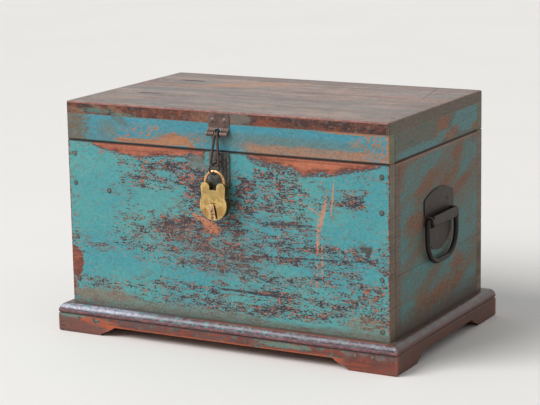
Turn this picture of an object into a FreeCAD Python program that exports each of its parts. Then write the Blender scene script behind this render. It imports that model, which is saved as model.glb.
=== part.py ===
import FreeCAD, Part
import math
import os

# A plank-built merchant chest: four plank walls on a moulded bracket-foot plinth, a box lid on
# two back hinges, a hanging bail on each end, and a hasp link, ring and brass padlock in front.
# Millimetres. X is the width with +X to the right, the front faces -Y, and Z is up from the floor.
# The origin is on the floor under the middle of the body.

V = FreeCAD.Vector
X_AXIS = V(1, 0, 0)
Y_AXIS = V(0, 1, 0)
Z_AXIS = V(0, 0, 1)

# Body
body_width = 600.0
body_depth = 368.0
wall_thick = 20.5
wall_bottom = 22.0
body_top = 331.8
front_joint_height = 156.0
end_joint_height = 150.0
back_joint_height = 172.0
board_arris = 1.5
joint_arris = 0.8

# Floor
floor_thick = 14.0
bearer_thick = 14.0
bearer_width = 40.0
floor_joint_shares = (-1 / 3, 1 / 3)
floor_play = 0.5

# Plinth
plinth_out = 19.5
plinth_height = 49.0
plinth_ledge = 6.5
ovolo_foot_height = 38.6
bead_height = 4.6
bead_out = 0.6
groove_height = 3.0
groove_deep = 1.8
foot_arris = 3.5
apron_height = 17.5
front_foot_length = 83.0
end_foot_length = 56.0
foot_curve_length = 30.0
foot_toe = 1.3
foot_curve_shares = ((0.8, 0.3), (0.42, 0.56), (0.16, 0.8))

# Lid
lid_seam = 0.3
rail_height = 45.9
rail_thick = 20.5
top_thick = 20.0
top_arris = 3.0
corner_arris = 2.0
rear_plank_width = 134.0
end_piece_front_length = 50.0
end_piece_rear_length = 80.0
crack_width = 1.6
crack_deep = 3.0
# Each crack's two ends from the lid's left end, and its place from the plank seam
crack_places = ((66.0, 112.0, -108.0), (56.0, 103.0, 47.0))

# Nails
nail_head_radius = 3.2
small_nail_head_radius = 2.6
nail_head_thick = 1.1
head_top_share = 0.72
nail_shank = 2.6
nail_length = 34.0
nail_play = 0.05
edge_nail_inset = 13.5

# Back hinges
hinge_inset = 110.0
hinge_width = 62.0
leaf_length = 40.0
leaf_thick = 2.0
knuckle_radius = 4.0
hinge_pin_radius = 2.0
hinge_pin_head = 0.8
hinge_nail_length = 16.0
hinge_nail_drop = 10.0
running_play = 0.05
moving_gap = 0.3

# Hasp
hasp_place = -3.0
hasp_plate_width = 38.0
hasp_plate_drop = 3.0
hasp_sheet_length = 24.5
hasp_plate_thick = 2.0
hasp_plate_arris = 3.0
hasp_pin_drop = 9.0
hasp_pin_out = 6.5
hasp_pin_radius = 2.0
hasp_barrel_wall = 2.0
barrel_gap_width = 13.0
barrel_length = 12.5
notch_width = 14.0
hasp_rivet_drop = 12.5
hasp_rivet_spacing = 22.0
hasp_rivet_radius = 4.3
hasp_rivet_dome = 1.8
hasp_rivet_shank = 2.2
hasp_rivet_length = 12.0

# Hasp link
link_wire_radius = 2.0
link_tilt = 7.8
link_foot_gap = 0.43
link_half_width = 7.4
link_corner_radius = 4.5
link_eye_gap = 0.4

# Staple plate and staple
staple_plate_width = 38.0
staple_plate_drop = 0.8
staple_plate_length = 61.0
staple_plate_thick = 2.0
staple_plate_arris = 2.5
staple_wire_radius = 2.0
staple_leg_spacing = 11.5
staple_leg_inset = 2.95
staple_out = 12.5
staple_tail = 14.0
staple_nail_inset_side = 5.5
staple_nail_inset_top = 4.5
staple_nail_length = 16.0

# Ring
ring_radius = 9.2
ring_wire_radius = 1.3
ring_turn = 60.0
hang_play = 0.4

# Padlock
shackle_wire_radius = 2.65
shackle_leg_spacing = 34.7
shackle_hang_play = 0.9
shackle_height = 35.5
shackle_eye_radius = 3.9
shackle_free_leg = 43.5
shackle_notch_deep = 2.3
shackle_notch_play = 0.6
shackle_slot_play = 0.4
lock_plate_thick = 2.0
lock_rim_deep = 10.7
lock_rim_wall = 3.2
lock_flank = 4.9
lock_ear_radius = 7.75
lock_ear_rise = 10.0
lock_gap_floor = 5.8
lock_round_beyond = 7.15
lock_round_drop = 19.0
lock_waist_angle = 30.0
lock_pin_radius = 1.6
lock_rivet_radius = 1.1
lock_rivet_angles = (-90.0, 20.0, 160.0)
bolt_height = 5.4
bolt_length = 21.0
bolt_talon_radius = 3.0
bolt_talon_back = 13.0
bolt_tongue_length = 10.0
lever_count = 3
lever_post_radius = 1.6
lever_eye_radius = 3.4
lever_thick = 2.4
lever_arm_length = 14.0
lever_arm_height = 4.0
lever_tip_drop = 3.2
lever_stub_out = 6.0
cover_width = 10.0
cover_length = 26.0
cover_thick = 2.2
cover_corner = 2.5
cover_gap = 0.25
cover_tilt = 9.6
cover_pivot_inset = 4.2
cover_pivot_aside = 2.6
cover_top_drop = 17.0
cover_rivet_radius = 1.5
cover_rivet_head_radius = 2.6
cover_rivet_head_thick = 0.7
keyhole_radius = 2.3
keyhole_width = 2.4
keyhole_length = 8.0
keyhole_aside = 2.2
keyhole_drop = 8.0

# End handles
handle_half_width = 57.5
handle_thick = 2.5
handle_height = 216.5
handle_arch_rise = 47.5
handle_shoulder_rise = 34.5
handle_step_rise = 7.5
tongue_half_width = 47.0
tongue_straight_drop = 30.5
tongue_drop = 55.5
trough_half_width = 46.0
trough_inner_radius = 4.8
trough_drop = 4.4
trough_lip_height = 8.5
ear_radius = 7.5
bail_wire_radius = 4.25
bail_half_width = 61.5
bail_drop = 75.0
bail_corner_radius = 40.0
bail_shoulder_radius = 5.0
bail_end_length = 0.5
bail_pivot_radius = 3.4
bail_pivot_inset = 2.0
handle_nail_place = 36.0
handle_nail_rise = 23.5
handle_nail_length = 20.0

# Nail heights on the walls, as seen on the front
front_left_nails = (308.5, 258.3, 164.5, 91.4)
front_right_nails = (311.7, 255.4, 148.0, 63.8)
front_odd_nail_place = -219.0
front_odd_nail_height = 249.6
back_nails = (305.0, 240.0, 140.0, 80.0)

# Nail places on the lid, from its front edge, with the last from its back edge
lid_left_nails = (44.0, 126.0, 220.0, 268.0)
lid_right_nails = (44.0, 126.0, 220.0, 262.0)
lid_last_nail = 34.0

# Nails on the bracket feet
plinth_nail_height = 27.0
plinth_nail_places = (22.0, 52.0)

# One overrun serves all cuts, and points closer than this are the same
over = 5.0
same_place = 0.01

half_width = body_width / 2
half_depth = body_depth / 2
front_y = -half_depth
back_y = half_depth
plinth_half_depth = half_depth + plinth_out
hinge_place = half_width - hinge_inset
lid_bottom = body_top + lid_seam
rail_top = lid_bottom + rail_height
lid_top = rail_top + top_thick
hinge_y = back_y + knuckle_radius + moving_gap
hinge_z = body_top + lid_seam / 2
plank_seam_y = back_y - rear_plank_width
hasp_plate_top = lid_top - hasp_plate_drop
hasp_plate_bend = hasp_plate_top - hasp_sheet_length
hasp_pin_height = hasp_plate_bend - hasp_pin_drop
hasp_rivet_height = hasp_plate_top - hasp_rivet_drop
staple_plate_top = body_top - staple_plate_drop
staple_height = staple_plate_top - staple_leg_inset - staple_leg_spacing / 2
lock_round_radius = shackle_leg_spacing / 2 + lock_round_beyond
lock_gap_width = shackle_leg_spacing + 2 * lock_flank - 4 * lock_ear_radius


def out_y(out):
    """The Y place of a point that stands so far out of the front face."""
    return front_y - out


def at_xz(a, b):
    return V(a, 0, b)


def at_yz(a, b):
    return V(0, a, b)


def at_xy(a, b):
    return V(a, b, 0)


def outline(at, start, steps):
    """A closed face: each step is an end point, or a point on the arc and its end point."""
    edges = []
    here = at(*start)
    for step in list(steps) + [(start,)]:
        there = at(*step[-1])
        if len(step) == 2:
            edges.append(Part.Arc(here, at(*step[0]), there).toShape())
        elif not here.isEqual(there, same_place):
            edges.append(Part.LineSegment(here, there).toShape())
        here = there
    return Part.Face(Part.Wire(edges))


def block(x0, x1, y0, y1, z0, z1):
    return Part.makeBox(x1 - x0, y1 - y0, z1 - z0, V(x0, y0, z0))


def rod(radius, start, direction, length):
    return Part.makeCylinder(radius, length, start, direction)


def cut_all(shape, tools):
    for tool in tools:
        shape = shape.cut(tool)
    return shape


def merged(first, others):
    shape = first
    for other in others:
        shape = shape.fuse(other)
    return shape.removeSplitter()


def edges_near(shape, test):
    return [edge for edge in shape.Edges if test(edge.CenterOfMass, edge)]


def is_upright(edge):
    box = edge.BoundBox
    return box.XLength < same_place and box.YLength < same_place


def unit(vector):
    return vector * (1 / vector.Length)


def route(corners, radii):
    """Straight runs joined by tangent arcs, with one radius for each inner corner."""
    edges = []
    here = corners[0]
    for before, corner, after, radius in zip(corners, corners[1:], corners[2:], radii):
        into = unit(corner - before)
        away = unit(after - corner)
        half_turn = into.getAngle(away) / 2
        reach = radius * math.tan(half_turn)
        start = corner - into * reach
        end = corner + away * reach
        middle = corner + unit(away - into) * (radius / math.cos(half_turn) - radius)
        edges.append(Part.LineSegment(here, start).toShape())
        edges.append(Part.Arc(start, middle, end).toShape())
        here = end
    edges.append(Part.LineSegment(here, corners[-1]).toShape())
    return Part.Wire(edges)


def tube(path, radius):
    first = path.OrderedEdges[0]
    start = first.valueAt(first.FirstParameter)
    heading = first.tangentAt(first.FirstParameter)
    ring = Part.Wire(Part.makeCircle(radius, start, heading))
    return path.makePipeShell([ring], True, False)


def save(node, shape):
    if isinstance(shape, list):
        shape = Part.makeCompound(shape)
    shape.exportStep("parts/" + node + ".step")


# Boards

def long_board(at, along, low, high, arrises, length, start):
    """A board drawn in section, with a radius for its low-left, low-right, high-right and
    high-left arrises in turn, and run along its grain."""
    a0, b0 = low
    a1, b1 = high
    bend = 1 - math.sqrt(0.5)
    r0, r1, r2, r3 = arrises
    steps = [((a1 - r1, b0),)]
    if r1:
        steps.append(((a1 - r1 * bend, b0 + r1 * bend), (a1, b0 + r1)))
    steps.append(((a1, b1 - r2),))
    if r2:
        steps.append(((a1 - r2 * bend, b1 - r2 * bend), (a1 - r2, b1)))
    steps.append(((a0 + r3, b1),))
    if r3:
        steps.append(((a0 + r3 * bend, b1 - r3 * bend), (a0, b1 - r3)))
    steps.append(((a0, b0 + r0),))
    if r0:
        steps.append(((a0 + r0 * bend, b0 + r0 * bend), (a0 + r0, b0)))
    face = outline(at, (a0 + r0, b0), steps)
    face.translate(along * start)
    return face.extrude(along * length)


def cross_wall_board(outer_side, bottom, top, low_arris, high_arris):
    """A front (-1) or back (+1) wall board, whose grain runs along the chest."""
    y0 = front_y if outer_side < 0 else back_y - wall_thick
    board = long_board(
        at_yz, X_AXIS, (y0, bottom), (y0 + wall_thick, top),
        (low_arris, low_arris, high_arris, high_arris), body_width, -half_width)
    outer_y = front_y if outer_side < 0 else back_y
    corners = edges_near(board, lambda c, e: is_upright(e) and abs(c.y - outer_y) < board_arris / 2)
    return board.makeFillet(board_arris, corners)


def end_wall_board(side, bottom, top, low_arris, high_arris):
    """A left (-1) or right (+1) wall board, held between the front and back boards."""
    x0 = half_width - wall_thick if side > 0 else -half_width
    length = body_depth - 2 * wall_thick
    return long_board(
        at_xz, Y_AXIS, (x0, bottom), (x0 + wall_thick, top),
        (low_arris, low_arris, high_arris, high_arris), length, front_y + wall_thick)


def make_walls():
    boards = {}
    for side, name, joint in ((-1, "front", front_joint_height), (1, "back", back_joint_height)):
        boards[name + "_lower_plank"] = cross_wall_board(side, wall_bottom, joint, 0, joint_arris)
        boards[name + "_upper_plank"] = cross_wall_board(side, joint, body_top, joint_arris, board_arris)
    for side, name in ((-1, "left"), (1, "right")):
        joint = end_joint_height
        boards[name + "_end_lower_plank"] = end_wall_board(side, wall_bottom, joint, 0, joint_arris)
        boards[name + "_end_upper_plank"] = end_wall_board(
            side, joint, body_top, joint_arris, board_arris)
    return boards


def make_floor():
    """Three planks along the chest, lying on three bearers that run from front to back."""
    inner_half_width = half_width - wall_thick - floor_play
    inner_half_depth = half_depth - wall_thick - floor_play
    top = wall_bottom + bearer_thick + floor_thick
    edges = [-inner_half_depth]
    edges += [share * inner_half_depth for share in floor_joint_shares]
    edges.append(inner_half_depth)
    parts = {}
    for name, y0, y1 in zip(("front", "middle", "rear"), edges, edges[1:]):
        parts["floor_" + name + "_plank"] = long_board(
            at_yz, X_AXIS, (y0, top - floor_thick), (y1, top),
            (0, 0, joint_arris, joint_arris), 2 * inner_half_width, -inner_half_width)
    bearers = []
    outer = inner_half_width + floor_play - bearer_width
    for x0 in (-outer - bearer_width, -bearer_width / 2, outer):
        bearers.append(block(
            x0, x0 + bearer_width, front_y + wall_thick, back_y - wall_thick,
            wall_bottom, wall_bottom + bearer_thick))
    parts["floor_bearers"] = bearers
    return parts


# Plinth

def plinth_section(at):
    """The moulding: flat ledge, ovolo, bead, groove and plain face, from the wall outwards."""
    bend = math.sqrt(0.5)
    face = plinth_out
    bead_back = face - bead_out
    ovolo_across = bead_back - plinth_ledge
    ovolo_tall = plinth_height - ovolo_foot_height
    ovolo_mid = (plinth_ledge + ovolo_across * bend, ovolo_foot_height + ovolo_tall * bend)
    bead_foot = ovolo_foot_height - bead_height
    groove_foot = bead_foot - groove_height
    arris_in = foot_arris * (1 - bend)
    return outline(at, (0, 0), [
        ((face - foot_arris, 0),),
        ((face - arris_in, arris_in), (face, foot_arris)),
        ((face, groove_foot),),
        ((face - groove_deep, (groove_foot + bead_foot) / 2),),
        ((bead_back, bead_foot),),
        ((face, bead_foot + bead_height / 2), (bead_back, ovolo_foot_height)),
        (ovolo_mid, (plinth_ledge, plinth_height)),
        ((0, plinth_height),),
    ])


def apron_cut(half_length, foot_length):
    """The space between two bracket feet: a toe, a cove and a cusp up to the level apron."""
    foot = half_length - foot_length
    cusp = foot - foot_curve_length
    low, middle, high = [
        (cusp + across * foot_curve_length, tall * apron_height)
        for across, tall in foot_curve_shares]
    reach = plinth_out + over
    half = outline(at_xz, (0, -over), [
        ((foot, -over),),
        ((foot, 0),),
        ((foot - foot_toe, foot_toe),),
        (low,),
        (middle, high),
        ((cusp, apron_height),),
        ((0, apron_height),),
    ])
    half.translate(Y_AXIS * -reach)
    half = half.extrude(Y_AXIS * (2 * reach))
    return merged(half, [half.mirror(V(0, 0, 0), X_AXIS)])


def plinth_run(half_length, foot_length):
    """A board lying along X with its moulding towards -Y, cut to 45 degree mitres."""
    run = plinth_section(lambda a, b: V(0, -a, b))
    outer = half_length + plinth_out
    run.translate(X_AXIS * -outer)
    run = run.extrude(X_AXIS * (2 * outer))
    wedges = []
    for side in (-1, 1):
        wedge = outline(at_xy, (side * half_length, 0), [
            ((side * (half_length + plinth_out + over), -plinth_out - over),),
            ((side * (half_length + plinth_out + over), over),),
            ((side * half_length, over),),
        ])
        wedge.translate(Z_AXIS * -over)
        wedges.append(wedge.extrude(Z_AXIS * (plinth_height + 2 * over)))
    return cut_all(run, wedges + [apron_cut(outer, foot_length)])


def make_plinth():
    centre = V(0, 0, 0)
    long_run = plinth_run(half_width, front_foot_length)
    short_run = plinth_run(half_depth, end_foot_length + plinth_out)
    front = long_run.translated(Y_AXIS * front_y)
    right = short_run.translated(Y_AXIS * -half_width).rotated(centre, Z_AXIS, 90)
    return {
        "plinth_front": front,
        "plinth_back": front.rotated(centre, Z_AXIS, 180),
        "plinth_right": right,
        "plinth_left": right.rotated(centre, Z_AXIS, 180),
    }


# Nails

def nail(place, outward, length, head_radius=nail_head_radius):
    """A forged nail: a low round head on the surface and a square shank behind it."""
    head = Part.makeCone(head_radius, head_radius * head_top_share, nail_head_thick, place, outward)
    half = nail_shank / 2
    shank = block(-half, half, -half, half, -length, 0)
    turn = FreeCAD.Rotation(Z_AXIS, outward)
    shank.Placement = FreeCAD.Placement(place, turn)
    return head.fuse(shank)


def nail_hole(place, outward, length):
    half = nail_shank / 2 + nail_play
    hole = block(-half, half, -half, half, -length - nail_play, nail_head_thick)
    hole = hole.fuse(rod(nail_head_radius + nail_play, V(0, 0, 0), Z_AXIS, over))
    hole.Placement = FreeCAD.Placement(place, FreeCAD.Rotation(Z_AXIS, outward))
    return hole


def wall_nail_places():
    places = []
    left = -half_width + edge_nail_inset
    right = half_width - edge_nail_inset
    for height in front_left_nails:
        places.append((V(left, front_y, height), -Y_AXIS))
    for height in front_right_nails:
        places.append((V(right, front_y, height), -Y_AXIS))
    places.append((V(front_odd_nail_place, front_y, front_odd_nail_height), -Y_AXIS))
    for height in back_nails:
        places.append((V(left, back_y, height), Y_AXIS))
        places.append((V(right, back_y, height), Y_AXIS))
    return places


def wall_nail_length(place):
    """The odd nail misses the end board, so it stops inside the front board."""
    return nail_length if abs(place.x) > half_width - wall_thick else wall_thick - board_arris


def lid_nail_places():
    """The lid's nails are sunk flush, each head in its own pocket."""
    places = []
    for side, shifts in ((-1, lid_left_nails), (1, lid_right_nails)):
        for y in [front_y + shift for shift in shifts] + [back_y - lid_last_nail]:
            place = V(side * (half_width - edge_nail_inset), y, lid_top - nail_head_thick)
            places.append((place, Z_AXIS))
    return places


def plinth_nail_sites():
    places = []
    for side in (-1, 1):
        for inset in plinth_nail_places:
            x = side * (half_width - inset)
            places.append((V(x, -plinth_half_depth, plinth_nail_height), -Y_AXIS))
            places.append((V(x, plinth_half_depth, plinth_nail_height), Y_AXIS))
    return places


# Lid

def make_lid():
    inner_length = body_depth - 2 * rail_thick
    parts = {}
    for name, y0, outer_y in (("front", front_y, front_y), ("back", back_y - rail_thick, back_y)):
        rail = long_board(
            at_yz, X_AXIS, (y0, lid_bottom), (y0 + rail_thick, rail_top),
            (board_arris, board_arris, 0, 0), body_width, -half_width)
        corners = edges_near(
            rail, lambda c, e: is_upright(e) and abs(c.y - outer_y) < board_arris / 2)
        parts["lid_" + name + "_rail"] = rail.makeFillet(corner_arris, corners)
    for name, x0 in (("left", -half_width), ("right", half_width - rail_thick)):
        parts["lid_" + name + "_rail"] = long_board(
            at_xz, Y_AXIS, (x0, lid_bottom), (x0 + rail_thick, rail_top),
            (board_arris, board_arris, 0, 0), inner_length, front_y + rail_thick)
    parts.update(make_lid_top())
    return parts


def lid_slab():
    """The whole top before its planks are parted: rounded corners and a rounded top edge."""
    slab = block(-half_width, half_width, front_y, back_y, rail_top, lid_top)
    slab = slab.makeFillet(corner_arris, edges_near(slab, lambda c, e: is_upright(e)))
    rim = edges_near(slab, lambda c, e: e.BoundBox.ZMin > lid_top - joint_arris)
    return slab.makeFillet(top_arris, rim)


def seam_groove(start, end):
    """A small V along a joint between two planks."""
    along = unit(end - start)
    aside = along.cross(Z_AXIS)
    a = start - along * over
    face = Part.Face(Part.makePolygon([
        a - Z_AXIS * joint_arris,
        a + aside * (joint_arris + over) + Z_AXIS * over,
        a - aside * (joint_arris + over) + Z_AXIS * over,
        a - Z_AXIS * joint_arris]))
    return face.extrude(along * ((end - start).Length + 2 * over))


def end_piece_zone():
    """The space of the cross-grained piece at the right rear, with its slanting joint."""
    front_x = half_width - end_piece_front_length
    rear_x = half_width - end_piece_rear_length
    slope = (rear_x - front_x) / rear_plank_width
    back = back_y + over
    zone = outline(at_xy, (front_x, plank_seam_y), [
        ((half_width + over, plank_seam_y),),
        ((half_width + over, back),),
        ((rear_x + slope * over, back),),
    ])
    zone.translate(Z_AXIS * (rail_top - over))
    return zone.extrude(Z_AXIS * (top_thick + 2 * over))


def top_cracks():
    half = crack_width / 2
    cracks = []
    for start, end, aside in crack_places:
        y = plank_seam_y + aside
        cracks.append(block(
            start - half_width, end - half_width, y - half, y + half,
            lid_top - crack_deep, lid_top + over))
    return cracks


def make_lid_top():
    """Two long planks meeting at a seam, and the end piece beside the rear one."""
    slab = cut_all(lid_slab(), top_cracks())
    slab = slab.cut(seam_groove(
        V(-half_width, plank_seam_y, lid_top), V(half_width, plank_seam_y, lid_top)))
    front_zone = block(
        -half_width - over, half_width + over, front_y - over, plank_seam_y,
        rail_top - over, lid_top + over)
    joint = seam_groove(
        V(half_width - end_piece_front_length, plank_seam_y, lid_top),
        V(half_width - end_piece_rear_length, back_y, lid_top))
    rear = slab.cut(front_zone).cut(joint)
    zone = end_piece_zone()
    return {
        "lid_front_plank": slab.common(front_zone),
        "lid_rear_plank": rear.cut(zone),
        "lid_end_piece": rear.common(zone),
    }


# Back hinges

def knuckle(x0, x1):
    return rod(knuckle_radius, V(x0, hinge_y, hinge_z), X_AXIS, x1 - x0)


def hinge_leaf(x, side, bands):
    """One leaf: side -1 lies on the body below the pin and +1 on the lid above it."""
    half = hinge_width / 2
    clear = knuckle_radius + moving_gap
    z_far = hinge_z + side * (clear + leaf_length)
    z_near = hinge_z + side * clear
    z0, z1 = sorted((z_far, z_near))
    plate = block(x - half, x + half, back_y, back_y + leaf_thick, z0, z1)
    corners = edges_near(
        plate, lambda c, e: e.BoundBox.YLength > leaf_thick / 2 and abs(c.z - z_far) < leaf_thick)
    shape = plate.makeFillet(2 * leaf_thick, corners)
    for x0, x1 in bands:
        w0, w1 = sorted((hinge_z, z_near))
        web = block(x0, x1, back_y, back_y + leaf_thick, w0, w1)
        shape = shape.fuse(web).fuse(knuckle(x0, x1))
    bore = hinge_pin_radius + running_play
    shape = shape.cut(rod(bore, V(x - half - over, hinge_y, hinge_z), X_AXIS, hinge_width + 2 * over))
    return shape.removeSplitter()


def hinge_bands(x):
    """The body's two outer knuckles and the lid's middle one, a moving gap apart."""
    third = hinge_width / 3
    left = x - hinge_width / 2
    body = [(left, left + third - moving_gap / 2)]
    body.append((left + 2 * third + moving_gap / 2, left + hinge_width))
    lid = [(left + third + moving_gap / 2, left + 2 * third - moving_gap / 2)]
    return body, lid


def hinge_nail_places(x, side):
    places = []
    spread = hinge_width / 3
    middle = hinge_z + side * (knuckle_radius + moving_gap + leaf_length / 2)
    for step in (-1, 0, 1):
        z = middle + side * hinge_nail_drop * (1 if step else -1)
        places.append((V(x + step * spread, back_y + leaf_thick, z), Y_AXIS))
    return places


def hinge_pin(x):
    length = hinge_width + 2 * hinge_pin_head
    start = V(x - hinge_width / 2 - hinge_pin_head, hinge_y, hinge_z)
    pin = rod(hinge_pin_radius, start, X_AXIS, length)
    for head_x in (start.x, start.x + length - hinge_pin_head):
        pin = pin.fuse(rod(
            hinge_pin_radius + hinge_pin_head, V(head_x, hinge_y, hinge_z), X_AXIS, hinge_pin_head))
    return pin.removeSplitter()


# Hasp plate, pin, link and staple

def hasp_pin_place():
    return V(hasp_place, out_y(hasp_pin_out), hasp_pin_height)


def hasp_barrel_radius():
    return hasp_pin_radius + running_play + hasp_barrel_wall


def hasp_sheet():
    """The sheet lies on the lid's front, jogs outwards at the foot and ends behind the pin."""
    t = hasp_plate_thick
    jog = hasp_pin_out - hasp_barrel_radius()
    section = outline(at_yz, (0, hasp_plate_top), [
        ((-t, hasp_plate_top),),
        ((-t, hasp_plate_bend),),
        ((-jog - t, hasp_plate_bend - jog),),
        ((-jog - t, hasp_pin_height),),
        ((-jog, hasp_pin_height),),
        ((-jog, hasp_plate_bend - jog - t / 2),),
        ((0, hasp_plate_bend - t / 2),),
    ])
    section.translate(V(hasp_place - hasp_plate_width / 2, front_y, 0))
    sheet = section.extrude(X_AXIS * hasp_plate_width)
    corners = edges_near(
        sheet, lambda c, e: e.BoundBox.YLength > t / 2 and abs(c.z - hasp_plate_top) < t)
    return sheet.makeFillet(hasp_plate_arris, corners)


def hasp_notch():
    """The arched opening that lets the link's eyes swing."""
    half = notch_width / 2
    y = out_y(hasp_pin_out + over)
    spring = hasp_plate_bend - half
    low = hasp_pin_height - hasp_barrel_radius() - over
    slot = block(hasp_place - half, hasp_place + half, y, front_y + over, low, spring)
    return slot.fuse(rod(half, V(hasp_place, y, spring), Y_AXIS, hasp_pin_out + 2 * over))


def hasp_plate():
    """The sheet with a rolled barrel at each side of the notch."""
    pin = hasp_pin_place()
    near = barrel_gap_width / 2
    far = near + barrel_length
    low = hasp_pin_height - hasp_barrel_radius() - over
    barrels = []
    ends = []
    for side in (-1, 1):
        start = min(side * near, side * far)
        barrels.append(rod(hasp_barrel_radius(), pin + X_AXIS * start, X_AXIS, barrel_length))
        x0, x1 = sorted((side * far, side * (hasp_plate_width / 2 + over)))
        ends.append(block(
            hasp_place + x0, hasp_place + x1, out_y(hasp_pin_out + over), front_y + over,
            low, hasp_pin_height + hasp_barrel_radius()))
    shape = merged(cut_all(hasp_sheet(), ends + [hasp_notch()]), barrels)
    bore = rod(
        hasp_pin_radius + running_play, pin - X_AXIS * hasp_plate_width, X_AXIS, 2 * hasp_plate_width)
    return cut_all(shape, [bore] + hasp_rivet_bores())


def hasp_rivet_bores():
    return [rod(hasp_rivet_shank + running_play, site - Y_AXIS * over, Y_AXIS,
                over + hasp_rivet_length + running_play)
            for site in hasp_rivet_sites()]


def hasp_rivet_sites():
    y = out_y(hasp_plate_thick)
    half = hasp_rivet_spacing / 2
    return [V(hasp_place + side * half, y, hasp_rivet_height) for side in (-1, 1)]


def dome_rivet(site, head_radius, dome, shank_radius, length):
    """A domed head facing -Y with its shank running back along +Y."""
    sphere_radius = (head_radius ** 2 + dome ** 2) / (2 * dome)
    bulge = head_radius * math.sqrt(0.5)
    rise = math.sqrt(sphere_radius ** 2 - bulge ** 2) - (sphere_radius - dome)
    section = outline(at_xz, (0, 0), [
        ((head_radius, 0),),
        ((bulge, rise), (0, dome)),
    ])
    head = section.revolve(V(0, 0, 0), Z_AXIS, 360)
    shank = rod(shank_radius, V(0, 0, -length), Z_AXIS, length)
    shape = head.fuse(shank)
    shape.Placement = FreeCAD.Placement(site, FreeCAD.Rotation(Z_AXIS, -Y_AXIS))
    return shape


def hasp_pin():
    reach = barrel_gap_width / 2 + barrel_length + hinge_pin_head
    return rod(hasp_pin_radius, hasp_pin_place() - X_AXIS * reach, X_AXIS, 2 * reach)


def link_length():
    """How far the legs run from the eyes, so that the foot passes just under the staple."""
    tilt = math.radians(link_tilt)
    eye = hasp_pin_radius + running_play + link_wire_radius
    staple_foot = staple_height - staple_leg_spacing / 2 - staple_wire_radius
    foot = staple_foot - link_foot_gap - link_wire_radius
    return (hasp_pin_height + eye * math.sin(tilt) - foot) / math.cos(tilt)


def hasp_link():
    """One bent wire: two eyes side by side on the pin, and legs that spread to a square foot."""
    r = link_wire_radius
    eye_radius = hasp_pin_radius + running_play + r
    eye_shift = r + link_eye_gap / 2
    corner = V(link_half_width, -eye_radius, -link_length())
    top = V(eye_shift, -eye_radius, 0)
    path = route(
        [top, corner, V(-corner.x, corner.y, corner.z), V(-top.x, top.y, top.z)],
        [link_corner_radius, link_corner_radius])
    wire = tube(path, r)
    eyes = []
    for side in (-1, 1):
        eyes.append(Part.makeTorus(eye_radius, r, V(side * eye_shift, 0, 0), X_AXIS))
    bridge = rod(r, V(-eye_shift, -eye_radius, 0), X_AXIS, 2 * eye_shift)
    shape = merged(wire, eyes + [bridge])
    shape.Placement = FreeCAD.Placement(
        hasp_pin_place(), FreeCAD.Rotation(X_AXIS, -link_tilt))
    return shape


def link_foot():
    """The middle of the link's bottom wire, where the ring hangs."""
    tilt = math.radians(link_tilt)
    eye = hasp_pin_radius + running_play + link_wire_radius
    out = hasp_pin_out + eye * math.cos(tilt) + link_length() * math.sin(tilt)
    height = hasp_pin_height + eye * math.sin(tilt) - link_length() * math.cos(tilt)
    return V(hasp_place, out_y(out), height)


def staple_plate():
    half = staple_plate_width / 2
    plate = block(
        hasp_place - half, hasp_place + half, out_y(staple_plate_thick), front_y,
        staple_plate_top - staple_plate_length, staple_plate_top)
    corners = edges_near(plate, lambda c, e: e.BoundBox.YLength > staple_plate_thick / 2)
    plate = plate.makeFillet(staple_plate_arris, corners)
    return cut_all(plate, staple_holes())


def staple_legs():
    half = staple_leg_spacing / 2
    return (staple_height + half, staple_height - half)


def staple_holes():
    start_y = out_y(staple_plate_thick + over)
    length = staple_plate_thick + over + staple_tail + running_play
    radius = staple_wire_radius + running_play
    return [rod(radius, V(hasp_place, start_y, z), Y_AXIS, length) for z in staple_legs()]


def staple():
    """A round-wire U lying in an upright plane, with its legs driven into the front board."""
    half = staple_leg_spacing / 2
    high, low = staple_legs()
    tail_y = front_y + staple_tail
    bend_y = out_y(staple_out - staple_wire_radius - half)
    edges = [
        Part.LineSegment(V(hasp_place, tail_y, high), V(hasp_place, bend_y, high)).toShape(),
        Part.Arc(
            V(hasp_place, bend_y, high), V(hasp_place, bend_y - half, staple_height),
            V(hasp_place, bend_y, low)).toShape(),
        Part.LineSegment(V(hasp_place, bend_y, low), V(hasp_place, tail_y, low)).toShape(),
    ]
    return tube(Part.Wire(edges), staple_wire_radius)


def staple_nail_sites():
    sites = []
    half = staple_plate_width / 2 - staple_nail_inset_side
    high = staple_plate_top - staple_nail_inset_top
    low = staple_plate_top - staple_plate_length + staple_nail_inset_top
    for z in (high, low):
        for side in (-1, 1):
            sites.append((V(hasp_place + side * half, out_y(staple_plate_thick), z), -Y_AXIS))
    return sites


# Ring and padlock

def ring_centre():
    drop = link_wire_radius + hang_play + ring_wire_radius - ring_radius
    return link_foot() + Z_AXIS * drop


def lock_ring():
    turn = math.radians(ring_turn)
    normal = V(-math.sin(turn), math.cos(turn), 0)
    return Part.makeTorus(ring_radius, ring_wire_radius, ring_centre(), normal)


def shackle_top():
    """The middle of the shackle's wire at its crown."""
    rise = ring_wire_radius + shackle_hang_play + shackle_wire_radius
    return ring_centre() + Z_AXIS * (rise - ring_radius)


def lock_origin():
    """The middle of the padlock's thickness, level with the shackle's pivot."""
    return shackle_top() - Z_AXIS * shackle_height


def shackle_pivot():
    return lock_origin() - X_AXIS * (shackle_leg_spacing / 2)


def bolt_top():
    """The bolt slides close under the rim of the gap between the ears."""
    return lock_gap_floor - lock_rim_wall - moving_gap


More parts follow.
